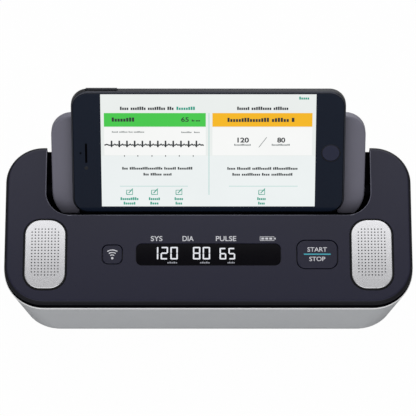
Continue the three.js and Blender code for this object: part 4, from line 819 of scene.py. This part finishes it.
def digit(figure, left, low, width, height):
    """One seven-segment figure, of short bars that leave a hairline gap where they meet."""
    half = DIGIT_STROKE / 2
    middle = low + height / 2
    right, high = left + width, low + height

    def across(y):
        return left + half + DIGIT_GAP, right - half - DIGIT_GAP, y - half, y + half

    def along(x, start, end):
        return x - half, x + half, start + DIGIT_GAP, end - DIGIT_GAP

    areas = {
        "a": across(high - half), "g": across(middle), "d": across(low + half),
        "f": along(left + half, middle, high), "b": along(right - half, middle, high),
        "e": along(left + half, low, middle), "c": along(right - half, low, middle),
    }
    return [plate("segment", areas[key], DIGIT_BASE, DIGIT_BASE + MARK_HEIGHT, corners=0.3, steps=3)
            for key in SEGMENTS[figure]]


def reading(name, figures, right, width, height, pitch):
    bars = []
    for i, figure in enumerate(reversed(figures)):
        bars += digit(figure, right - width - i * pitch, READING_LOW, width, height)
    on_deck(group(name, bars), "case", LIT_DIGIT, "window_plastic")


def label(name, words, left, right):
    area = (left, right, LABEL_ROW - LABEL_HALF, LABEL_ROW + LABEL_HALF)
    on_deck(lettering(name, words, area, PRINT_GAP, MARK_HEIGHT), "case", LABEL)


def thumb_pad(side, name):
    x = side * PAD_X
    pad = plate(f"{name}_thumb_pad", around(x, CONTROL_ROW, PAD_SIZE), -PAD_SINK, PAD_PROUD, PAD_RADIUS,
                top=0.5)
    dots = []
    for row in range(DOT_ROWS):
        for column in range(DOT_COLUMNS):
            if row in (0, DOT_ROWS - 1) and column in (0, DOT_COLUMNS - 1):
                continue
            centre = (x + DOT_PITCH[0] * (column - (DOT_COLUMNS - 1) / 2),
                      DOT_MIDDLE + DOT_PITCH[1] * (row - (DOT_ROWS - 1) / 2))
            dots.append(bar("dot", "Z", centre, DOT_RADIUS, PAD_PROUD - DOT_DEPTH, PAD_PROUD + OVERRUN / 2,
                            sides=12))
    carve(pad, group("dots", dots))

    def in_dot(face):
        among_dots = (abs(face.center.x - x) < DOTTED_HALF[0]
                      and abs(face.center.y - DOT_MIDDLE) < DOTTED_HALF[1])
        return among_dots and PAD_PROUD - DOT_DEPTH - TOUCH < face.center.z < PAD_PROUD - TOUCH

    paint(pad, in_dot, FINISH["electrode_metal"], DIMPLE_SHADE)
    dress(pad, DECK, "case", "electrode_metal", f"{name}_thumb_electrode")


def pad_gasket(side, name):
    area = around(side * PAD_X, CONTROL_ROW, PAD_SIZE)
    ring = plate(f"{name}_pad_gasket", grown(area, GASKET_WIDTH), -PAD_SINK, 0, PAD_RADIUS + GASKET_WIDTH,
                 top=0.12)
    carve(ring, opening(side * PAD_X, PAD_SIZE, PAD_RADIUS, GASKET_GAP, -PAD_SINK - OVERRUN))
    dress(ring, DECK, "case", "black_rubber", f"{name}_thumb_gasket")


button("start_stop_cap", START_X, START_SIZE, START_RADIUS, "start_button", "start_stop_button")
button("connection_cap", LINK_X, LINK_SIZE, LINK_RADIUS, "link_button", "connection_button")
window = plate("number_window", around(0, CONTROL_ROW, WINDOW_SIZE), -WINDOW_DEPTH, 0, WINDOW_RADIUS,
               top=0.25)
dress(window, DECK, "case", "window_plastic", "display_window")
for side, name in SIDES:
    thumb_pad(side, name)
    pad_gasket(side, name)

for name, word, half, low, high in (("start_word", "START", 5.6, 31.6, 34.3),
                                    ("stop_word", "STOP", 4.6, 25.8, 28.5)):
    area = (START_X - half, START_X + half, low, high)
    on_deck(lettering(name, word, area, BUTTON_FACE, MARK_HEIGHT), "start_button", LABEL)
on_deck(plate("start_stop_line", (START_X - 7.7, START_X + 7.7, 29.7, 30.4), BUTTON_FACE,
              BUTTON_FACE + MARK_HEIGHT, 0.1, steps=2), "start_button", TEAL_LINE)

LINK_DOT_Y = CONTROL_ROW - 2.4
waves = [bar("spot", "Z", (LINK_X, LINK_DOT_Y), 0.7, BUTTON_FACE, BUTTON_FACE + MARK_HEIGHT, sides=24)]
for radius in (2, 3.5, 5):
    waves.append(stroke("wave", arc_points(LINK_X, LINK_DOT_Y, radius, 55, 125), 0.62, MARK_HEIGHT,
                        BUTTON_FACE))
on_deck(group("connection_mark", waves), "link_button", LABEL)

label("upper_label", "SYS", -33.2, -26.5)
label("lower_label", "DIA", -14.9, -8.5)
label("pulse_label", "PULSE", 4.3, 16)
cell_mark = [
    stroke("outline", [(29.8, 38.5), (29.8, 40.9), (37.8, 40.9), (37.8, 38.5), (29.8, 38.5)], 0.35,
           MARK_HEIGHT, PRINT_GAP),
    plate("nub", (38.1, 38.8, 39.2, 40.2), PRINT_GAP, PRINT_GAP + MARK_HEIGHT),
]
for left in (30.5, 32.8, 35.1):
    cell_mark.append(plate("charge", (left, left + 1.7, 39.1, 40.3), PRINT_GAP, PRINT_GAP + MARK_HEIGHT))
on_deck(group("battery_mark", cell_mark), "case", LABEL)
reading("upper_reading", "120", -17.6, 4.3, 7.7, 5.6)
reading("lower_reading", "80", 1, 4.3, 7.7, 5.6)
reading("pulse_reading", "65", 15.4, 3.9, 7.1, 5.1)
for name, left, right in (("upper_unit", -23.6, -17.7), ("lower_unit", -4.8, 1),
                          ("pulse_unit", 11, 15.3)):
    pitch = (right - left) / 5
    marks = [plate("mark", (left + i * pitch, left + (i + 0.74) * pitch, 24.5, 25.2 + 0.3 * (i % 2)),
                   DIGIT_BASE, DIGIT_BASE + MARK_HEIGHT) for i in range(5)]
    on_deck(group(name, marks), "case", LIT_UNIT, "window_plastic")


# Stand
PANEL_WALL = 2
PANEL_HOLLOW = 0.8
JOIN = 1.9
LEDGE_AREA = (-75, 75, -12.9, -11.2)
LEDGE_REACH = 8
BLOCK_SPAN = (79.5, 89.5)
BLOCK_HALF = 3.6
COVER_FACE = -1.5
BEHIND_STAND = -STAND_FACE - OVERRUN
GRIP_AREA = (-22, 22, 38, 43)
GRIP_DEPTH = 0.7
GROOVE_ROWS = (-6, 30)
GROOVE_WIDTH = 0.8
GROOVE_DEPTH = 0.4
STRIP_AREA = (-70, 70, -10.9, -10.1)
STRIP_LEVELS = (3.3, 7.5)
RIBS = 69
RIB_RUN = (-10.3, -9.9)
RIB_LEVELS = (3.2, 7.6)
PIN_RADIUS = 1.5
PIN_SPAN = (81.3, 96.8)
BUSH_RADIUS = 3.2
BUSH_SPAN = (91.1, 93.7)
BARREL_RADIUS = 2.6
BARREL_SPAN = (93, 96.8)
BORE_RADIUS = 1.8


def stand_outline(name, inset, low, high, top=0):
    area = (-STAND_HALF + inset, STAND_HALF - inset, STAND_FOOT_CENTRE - STAND_FOOT_RADIUS + inset,
            STAND_TOP - inset)
    form = plate(name, area, low, high, (STAND_FOOT_RADIUS - inset, STAND_TOP_RADIUS - inset))
    carve(form, plate("below", (-CASE_WIDTH, CASE_WIDTH, -CASE_WIDTH, STAND_FOOT + inset), low - OVERRUN,
                      high + OVERRUN))
    if top:
        round_edges(form, level_with(high), top)
    return form


def hinge_block(side, grow, low, high):
    area = (*span(side, *BLOCK_SPAN), -BLOCK_HALF, BLOCK_HALF)
    return plate("hinge_block", grown(area, grow), low, high)


def stand_panel():
    panel = stand_outline("stand_plate", 0, -STAND_FACE, STAND_FACE, top=1.2)
    carve(panel, stand_outline("hollow", PANEL_WALL, BEHIND_STAND, PANEL_HOLLOW))
    fuse(panel, plate("ledge", LEDGE_AREA, JOIN, LEDGE_REACH, top=0.5),
         *(hinge_block(side, 0, -STAND_FACE, JOIN) for side in (-1, 1)))
    # Painted shade: the ledge's faces in front of the panel, under the handset, are painted near-black
    paint(panel, lambda face: face.center.z > STAND_FACE + TOUCH, FINISH["stand_plastic"], BLACK_AND_SHADE)
    dress(panel, STAND, "stand", "stand_plastic", "stand_panel")


def stand_cover():
    cover = stand_outline("stand_cover", PANEL_WALL + FIT, -STAND_FACE, COVER_FACE)
    for side in (-1, 1):
        carve(cover, hinge_block(side, FIT, BEHIND_STAND, OVERRUN))
    grip = plate("grip", GRIP_AREA, BEHIND_STAND, GRIP_DEPTH - STAND_FACE, corners=2.49)
    grooves = [plate("groove", (*STRIP_AREA[:2], y, y + GROOVE_WIDTH), BEHIND_STAND,
                     GROOVE_DEPTH - STAND_FACE, GROOVE_WIDTH / 2 - TOUCH, steps=5) for y in GROOVE_ROWS]
    carve(cover, grip, *grooves)
    dress(cover, STAND, "stand", "stand_plastic", "stand_back_cover")


def grip_strip():
    strip = plate("ledge_grip", STRIP_AREA, *STRIP_LEVELS, top=0.15)
    lefts = [2 * i - RIBS for i in range(RIBS)]
    ribs = [plate("rib", (left, left + 1, *RIB_RUN), *RIB_LEVELS) for left in lefts]
    carve(strip, group("ribs", ribs))
    dress(strip, STAND, "stand", "black_rubber", "stand_grip_strip")


def hinge_pin(side, name):
    pin = bar(f"{name}_pin", "X", (0, 0), PIN_RADIUS, *span(side, *PIN_SPAN), rim=0.3, sides=32)
    dress(pin, STAND, "stand", "screw_steel", f"{name}_hinge_pin", finish=BLACKENED_AND_EDGE_SHADE)


def hinge_bush(side, name):
    bush = bar(f"{name}_bush", "X", HINGE_LINE, BUSH_RADIUS, *span(side, *BUSH_SPAN), rim=0.3, sides=40)
    fuse(bush, bar("barrel", "X", HINGE_LINE, BARREL_RADIUS, *span(side, *BARREL_SPAN), sides=40))
    carve(bush, bar("bore", "X", HINGE_LINE, BORE_RADIUS, -CASE_WIDTH, CASE_WIDTH, sides=40))
    # Painted shade: the black plastic bush is made darker still, near-black, for the shade in the hinge
    dress(bush, DECK, "case", "black_plastic", f"{name}_hinge_bush", finish=BLACK_AND_SHADE)


stand_panel()
stand_cover()
grip_strip()
for side, name in SIDES:
    hinge_pin(side, name)
    hinge_bush(side, name)

# Handset
HANDSET_AREA = (-HANDSET_SIZE[0] / 2, HANDSET_SIZE[0] / 2, 0, HANDSET_SIZE[1])
HANDSET_MIDDLE = HANDSET_SIZE[1] / 2
HANDSET_END = 80
HOME = (70.3, HANDSET_MIDDLE)
HOME_HOLE = 5.6
HOME_FLOOR = 5.1
RING_BORE = 5.1
EARPIECE = (-70.2, HANDSET_MIDDLE)
EARPIECE_SIZE = (1.2, 12.4)
PORT_SIZE = (8.6, 2.8)
VENTS = 6
VENT_START = 8.5
VENT_PITCH = 2.2
KEY_SPAN = (-70, -52)
KEY_LEVELS = (2.35, 4.75)
CAMERA = (-66, 66.9)
CAMERA_RADIUS = 4.5
BAND_X = 60.5


def handset_case():
    shell = plate("handset_case", HANDSET_AREA, 0, HANDSET_FACE, HANDSET_CORNER, top=1)
    round_edges(shell, level_with(0), 3, 8)
    middle = (HANDSET_MIDDLE, HANDSET_FACE / 2)
    port = plate("port", around(*middle, PORT_SIZE), 73.5, HANDSET_END, corners=1.35)
    vents = [bar("vent", "X", (middle[0] + side * (VENT_START + VENT_PITCH * i), middle[1]), 0.65, 76.5,
                 HANDSET_END, sides=16) for side in (-1, 1) for i in range(VENTS)]
    key_way = (KEY_SPAN[0] - FIT, KEY_SPAN[1] + FIT, HANDSET_SIZE[1] - 1.9, HANDSET_SIZE[1] + OVERRUN)
    carve(
        shell,
        plate("glass_seat", grown(HANDSET_AREA, FIT - GLASS_INSET), GLASS_BACK - FIT,
              HANDSET_FACE + OVERRUN, GLASS_CORNER + FIT),
        bar("home_well", "Z", HOME, HOME_HOLE, HOME_FLOOR, HANDSET_FACE),
        plate("key_way", key_way, KEY_LEVELS[0] - FIT, KEY_LEVELS[1] + FIT, corners=0.6),
        bar("camera_well", "Z", CAMERA, CAMERA_RADIUS + FIT, -OVERRUN, 1 + FIT),
        settle(port, facing_out(1)),
        group("vents", vents),
    )

    def on_chamfer(face):
        return face.center.z > HANDSET_FACE - 1 and face.normal.z > 0.3

    paint(shell, on_chamfer, FINISH["handset_metal"], CHAMFER)
    dress(shell, HANDSET, "handset", "handset_metal", "handset_shell")


def on_handset(piece, finish, *nodes, slot="handset_glass", body="handset"):
    dress(piece, HANDSET, body, slot, *nodes, finish=finish)


def handset_glass():
    glass = plate("handset_front", grown(HANDSET_AREA, -GLASS_INSET), GLASS_BACK, HANDSET_FACE,
                  GLASS_CORNER, top=0.3)
    ear = around(*EARPIECE, EARPIECE_SIZE)
    carve(glass, bar("home_hole", "Z", HOME, HOME_HOLE, 0, 10),
          plate("ear_slot", grown(ear, 0.05), 6.6, 10, corners=0.64))
    on_handset(glass, FINISH["handset_glass"], "handset_glass")
    on_handset(plate("ear_mesh", ear, 6.5, 6.75, corners=0.59), BLACK_AND_SHADE)
    on_handset(bar("front_camera", "Z", (-70.2, 29.2), 1.1, 7, 7.12, rim=0.05, sides=32), LENS)
    on_handset(bar("light_sensor", "Z", (-73.4, HANDSET_MIDDLE), 0.6, 7, 7.11, sides=24), BLACK_AND_SHADE)


def home_button():
    cap = bar("home_cap", "Z", HOME, 5, 5.9, 7, rim=0.25)
    on_handset(cap, FINISH["home_button_gloss"], "handset_home_button", slot="home_button_gloss",
               body="home_key")
    ring = bar("home_ring", "Z", HOME, HOME_HOLE - 0.05, 6, 7.08, rim=0.12)
    carve(ring, bar("inside", "Z", HOME, RING_BORE, 0, 10))
    on_handset(ring, RING, slot="handset_metal")


def power_key():
    key = plate("side_key", (*KEY_SPAN, HANDSET_SIZE[1] - 1.2, HANDSET_SIZE[1] + 0.6), *KEY_LEVELS)
    round_edges(key, lambda edge: all(corner.co.y > HANDSET_SIZE[1] for corner in edge.verts), 0.4)
    on_handset(key, FINISH["handset_metal"], "handset_power_key", slot="handset_metal", body="side_key")


def rear_camera():
    rim = bar("camera_rim", "Z", CAMERA, CAMERA_RADIUS, -0.8, 1, rim=0.4)
    carve(rim, bar("inside", "Z", CAMERA, 3.3, -2, -0.3))
    on_handset(rim, FINISH["handset_metal"], "handset_camera", slot="handset_metal")
    on_handset(bar("camera_lens", "Z", CAMERA, 3.25, -0.55, -0.2, rim=0.15), LENS)
    on_handset(bar("camera_flash", "Z", (-55.5, CAMERA[1]), 2, -0.06, 0.3, rim=0.05), LABEL)
    seams = [plate("seam", around(x, HANDSET_MIDDLE, (1.4, HANDSET_SIZE[1] - 8)), -0.03, 0.1)
             for x in (-BAND_X, BAND_X)]
    on_handset(group("antenna_bands", seams), LIP_HIGHLIGHT_AND_SEAM_GREY, slot="handset_metal")


handset_case()
handset_glass()
home_button()
power_key()
rear_camera()

# The handset's screen: flat lit areas, each a hair above the one under it
SCREEN = (-61.6, 61.5, 4.5, 75.95)
FILM = 0.02
LEVELS = [HANDSET_FACE + TOUCH + FILM * i for i in range(4)]
INK_LEVEL = LEVELS[2]
LETTER_TOPS = (1, 0.7, 0.7, 0.9, 0.7, 1, 0.7)
LETTER_PITCH = 0.62
LETTER_WIDTH = 0.76


def lit(name, areas, finish, level=2):
    pieces = [plate("area", area, LEVELS[level], LEVELS[level + 1] - PRINT_GAP) for area in areas]
    on_handset(group(name, pieces), finish)


def words(left, right, y, height, shares):
    """One line of made-up text: words as wide as their shares, each a row of letter-sized marks."""
    gap = 0.5 * height
    room = right - left - gap * (len(shares) - 1)
    areas, x = [], left
    for share in shares:
        width = room * share / sum(shares)
        letters = max(1, round(width / (LETTER_PITCH * height)))
        pitch = width / letters
        for i in range(letters):
            top = y - height / 2 + height * LETTER_TOPS[(i + len(areas)) % len(LETTER_TOPS)]
            areas.append((x + i * pitch, x + (i + LETTER_WIDTH) * pitch, y - height / 2, top))
        x += width + gap
    return areas


TRACE_LEFT, TRACE_RIGHT, TRACE_BASE = -59.6, -2.6, 43.85
FIRST_BEAT, BEAT_PITCH, BEATS = -55.5, 4.42, 12
SPIKE_WIDTH = 0.95
SPIKE_DROP = 1.3
SPIKE_RISE = 2.9


def heartbeat_line():
    """Between the spikes of each beat: a level stretch, a round wave and a small rise before the next."""
    wave = ((0.14, 0), (0.3, 0.15), (0.42, 0.75), (0.54, 0.15), (0.64, 0), (0.74, 0.35), (0.84, 0))
    points = [(TRACE_LEFT, TRACE_BASE), (TRACE_LEFT + 1.4, TRACE_BASE + 0.5), (TRACE_LEFT + 2.6, TRACE_BASE)]
    for beat in range(BEATS):
        for share, rise in ((0, 0), *wave):
            x = FIRST_BEAT + (beat + share) * BEAT_PITCH
            if x < TRACE_RIGHT:
                points.append((x, TRACE_BASE + rise))
    return points + [(TRACE_RIGHT, TRACE_BASE)]


def heartbeat_spikes():
    spikes = []
    for beat in range(BEATS):
        x = FIRST_BEAT + beat * BEAT_PITCH
        area = (x - SPIKE_WIDTH / 2, x + SPIKE_WIDTH / 2, TRACE_BASE - SPIKE_DROP,
                TRACE_BASE + SPIKE_RISE)
        spikes.append(plate("spike", area, INK_LEVEL, LEVELS[3], corners=0.3, steps=2))
    return spikes


lit("screen_face", [SCREEN], SCREEN_WHITE, 0)
lit("screen_lower", [(*SCREEN[:3], 37)], SCREEN_PALE, 1)
lit("result_panels", [(-59.7, -1.5, 37.4, 55.2), (2.3, 59.4, 37.4, 55.2)], SCREEN_PANEL, 1)
lit("rhythm_bar", [(-59.7, -1.5, 55.6, 64.2)], SCREEN_GREEN, 1)
lit("pressure_bar", [(2.3, 59.4, 55.6, 64.2)], SCREEN_AMBER, 1)
lit("column_rule", [(0.1, 0.55, 12, 64.2)], SCREEN_RULE)
lit("foot_rules", [(-51, -11.8, 17.4, 17.75), (11.8, 51.5, 17.4, 17.75)], SCREEN_RULE)
lit("title_lines", words(-50.4, -19.6, 67.2, 2.1, (4, 7, 8, 3)) + words(16.4, 45.8, 67.2, 2.1, (5, 8, 6)),
    SCREEN_INK)
lit("teal_words", words(-18.2, -7.4, 67.2, 2.1, (7,)) + words(51.7, 57.6, 73.6, 1.8, (4,)), SCREEN_TEAL)
lit("rhythm_words", words(-55.2, -42, 60.1, 2.6, (6,)) + words(-9.5, -4.6, 59.5, 1.2, (2, 3)), SCREEN_INK)
lit("pressure_words", words(10.9, 49.6, 59.9, 2.6, (12, 5, 1)), SCREEN_INK)
lit("trace_notes", words(-55.2, -36.6, 52.3, 1, (3, 4, 2, 5)) + words(-15.5, -9.5, 52.1, 1, (3,))
    + words(-8.2, -4.9, 52.1, 1, (2,)), SCREEN_SOFT_INK)
lit("trace_ticks", [(x - 0.28, x + 0.28, 36.6, 37.4) for x in (-48.2, -40.5, -32.4, -24.6, -16.7, -8.7)],
    SCREEN_INK)
lit("trace_fringe", words(14.8, 24.4, 44.1, 1.2, (5,)) + words(36.3, 46.8, 44.1, 1.2, (5,)),
    SCREEN_SOFT_INK)
lit("finding_words", words(-49.6, -9, 29.1, 1.7, (2, 11, 4, 5)) + words(-37.4, -21, 25.3, 1.7, (2, 4, 3))
    + words(10.9, 51.5, 29, 1.7, (3, 5, 7, 9)) + words(13.8, 48.6, 25.2, 1.7, (3, 7, 3, 8)), SCREEN_INK)
on_handset(group("heartbeat_spikes", heartbeat_spikes()), SCREEN_INK)
on_handset(stroke("heartbeat_trace", heartbeat_line(), 0.85, FILM, INK_LEVEL), SCREEN_INK)
on_handset(stroke("reading_slash", [(28.9, 42.5), (33.4, 48.9)], 0.4, FILM, INK_LEVEL), SCREEN_SOFT_INK)
for name, figures, area, weight in (("screen_upper", "120", (16.6, 23.2, 45.5, 48.7), 0.03),
                                    ("screen_lower_value", "80", (39.4, 44, 45.5, 48.7), 0.03),
                                    ("screen_pulse", "65", (-15.6, -11.2, 58.7, 61.6), 0.018)):
    on_handset(lettering(name, figures, area, INK_LEVEL, FILM, weight), SCREEN_INK)

menu_marks = []
for x, upper_reach, lower_reach in ((-45.5, 10.6, 7), (-31.1, 6.6, 5), (-17, 5.1, 4), (30.8, 5.1, 4)):
    menu_marks.append(stroke("menu", [(x - 1.7, 12.2), (x - 1.7, 15), (x + 1.7, 15), (x + 1.7, 12.2),
                                      (x - 1.7, 12.2)], 0.5, FILM, INK_LEVEL))
    menu_marks.append(stroke("menu", [(x - 0.6, 13.1), (x + 1.9, 16)], 0.55, FILM, INK_LEVEL))
    for row, reach in ((9.5, upper_reach), (6.6, lower_reach)):
        menu_marks += [plate("menu", area, INK_LEVEL, LEVELS[3] - PRINT_GAP)
                       for area in words(x - reach / 2, x + reach / 2, row, 1.8, (1,))]
on_handset(group("menu_marks", menu_marks), SCREEN_TEAL)


# The air inlet at the back, and the cells behind their door, which lie head to tail
INLET_SPAN = (81.6, 98.7)
INLET_BORE = (85.8, 100)
CELLS = 4
CELL_PITCH = 15.2
CELL_MIDDLE = 11.25
CELL_RADIUS = 7.25
CELL_SPANS = ((35.2, 84.7), (32.6, 82.1))
NUB_RADIUS = 2.75


def air_inlet():
    jack = bar("air_inlet", "Y", AIR_JACK, 6.5, *INLET_SPAN, rim=0.5)
    carve(jack, bar("bore", "Y", AIR_JACK, 3.6, *INLET_BORE))
    dress(jack, CASE, "case", "black_plastic", "air_jack")


def cell(index):
    centre = ((index - (CELLS - 1) / 2) * CELL_PITCH, CELL_MIDDLE)
    low, high = CELL_SPANS[index % 2]
    can = bar(f"cell_{index + 1}", "Y", centre, CELL_RADIUS, low, high, rim=0.6)
    tip = (low - 1, low + 0.5) if index % 2 else (high - 0.5, high + 1)
    fuse(can, bar("nub", "Y", centre, NUB_RADIUS, *tip, rim=0.3, sides=32))
    dress(can, CASE, "case", "cell_can", f"battery_{index + 1}")


air_inlet()
for index in range(CELLS):
    cell(index)


# Floor, light and camera
FLOOR_GREY = 0.54
FLOOR_WHITE = 0.985
WORLD_STRENGTH = 0.37


def stage_floor():
    """A pale floor that the camera itself sees as nearly white."""
    bpy.ops.mesh.primitive_plane_add(size=8, location=(0, 0, 0))
    floor = bpy.context.active_object
    floor.name = "table_top"
    finish = bpy.data.materials.new("pale_table")
    finish.use_nodes = True
    nodes, links = finish.node_tree.nodes, finish.node_tree.links
    shader = nodes["Principled BSDF"]
    shader.inputs["Base Color"].default_value = (FLOOR_GREY, FLOOR_GREY, FLOOR_GREY, 1)
    shader.inputs["Roughness"].default_value = 0.9
    white = nodes.new("ShaderNodeEmission")
    path = nodes.new("ShaderNodeLightPath")
    seen = nodes.new("ShaderNodeMath")
    seen.operation = "MULTIPLY"
    seen.inputs[1].default_value = FLOOR_WHITE
    links.new(path.outputs["Is Camera Ray"], seen.inputs[0])
    mix = nodes.new("ShaderNodeMixShader")
    links.new(seen.outputs[0], mix.inputs["Fac"])
    links.new(shader.outputs["BSDF"], mix.inputs[1])
    links.new(white.outputs["Emission"], mix.inputs[2])
    links.new(mix.outputs["Shader"], nodes["Material Output"].inputs["Surface"])
    floor.data.materials.append(finish)
    floor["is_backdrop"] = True


def soft_light(name, place, aim, width, height, power):
    light = bpy.data.lights.new(name, "AREA")
    light.shape = "RECTANGLE"
    light.size = width
    light.size_y = height
    light.energy = power
    lamp = add(name, light)
    lamp.location = place
    lamp.rotation_euler = (Vector(aim) - Vector(place)).to_track_quat("-Z", "Y").to_euler()


def set_world():
    world = bpy.data.worlds.new("studio")
    world.use_nodes = True
    background = world.node_tree.nodes["Background"]
    background.inputs["Color"].default_value = (1, 1, 1, 1)
    background.inputs["Strength"].default_value = WORLD_STRENGTH
    bpy.context.scene.world = world


CAMERA_HEIGHT = math.radians(45)
CAMERA_DISTANCE = 1.8
FRAME_WIDTH = 0.24
AIM = CASE @ Vector((-0.23, 50, 55.36))


def set_camera():
    """Looks at the aim from the front and above, through a long lens that frames a width there."""
    camera = bpy.data.cameras.new("camera")
    camera.sensor_width = 36
    camera.lens = camera.sensor_width * CAMERA_DISTANCE / FRAME_WIDTH
    camera.clip_end = 20
    eye = add("camera", camera)
    back = Vector((0, -math.cos(CAMERA_HEIGHT), math.sin(CAMERA_HEIGHT)))
    eye.location = AIM + back * CAMERA_DISTANCE
    eye.rotation_euler = (-back).to_track_quat("-Z", "Y").to_euler()
    bpy.context.scene.camera = eye


stage_floor()
set_world()
soft_light("overhead", (0, 0.328, 0.6), (0, 0.19, 0.02), 0.8, 0.8, 2.25)
soft_light("front_fill", (-0.1, -1.36, 0.68), (0, 0, 0.03), 2.6, 1.3, 13.6)
soft_light("back_fill", (0.4, 1.4, 0.7), (0, 0, 0.05), 1.2, 1.2, 8)
set_camera()
bpy.context.scene.view_settings.view_transform = "Standard"

low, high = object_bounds()
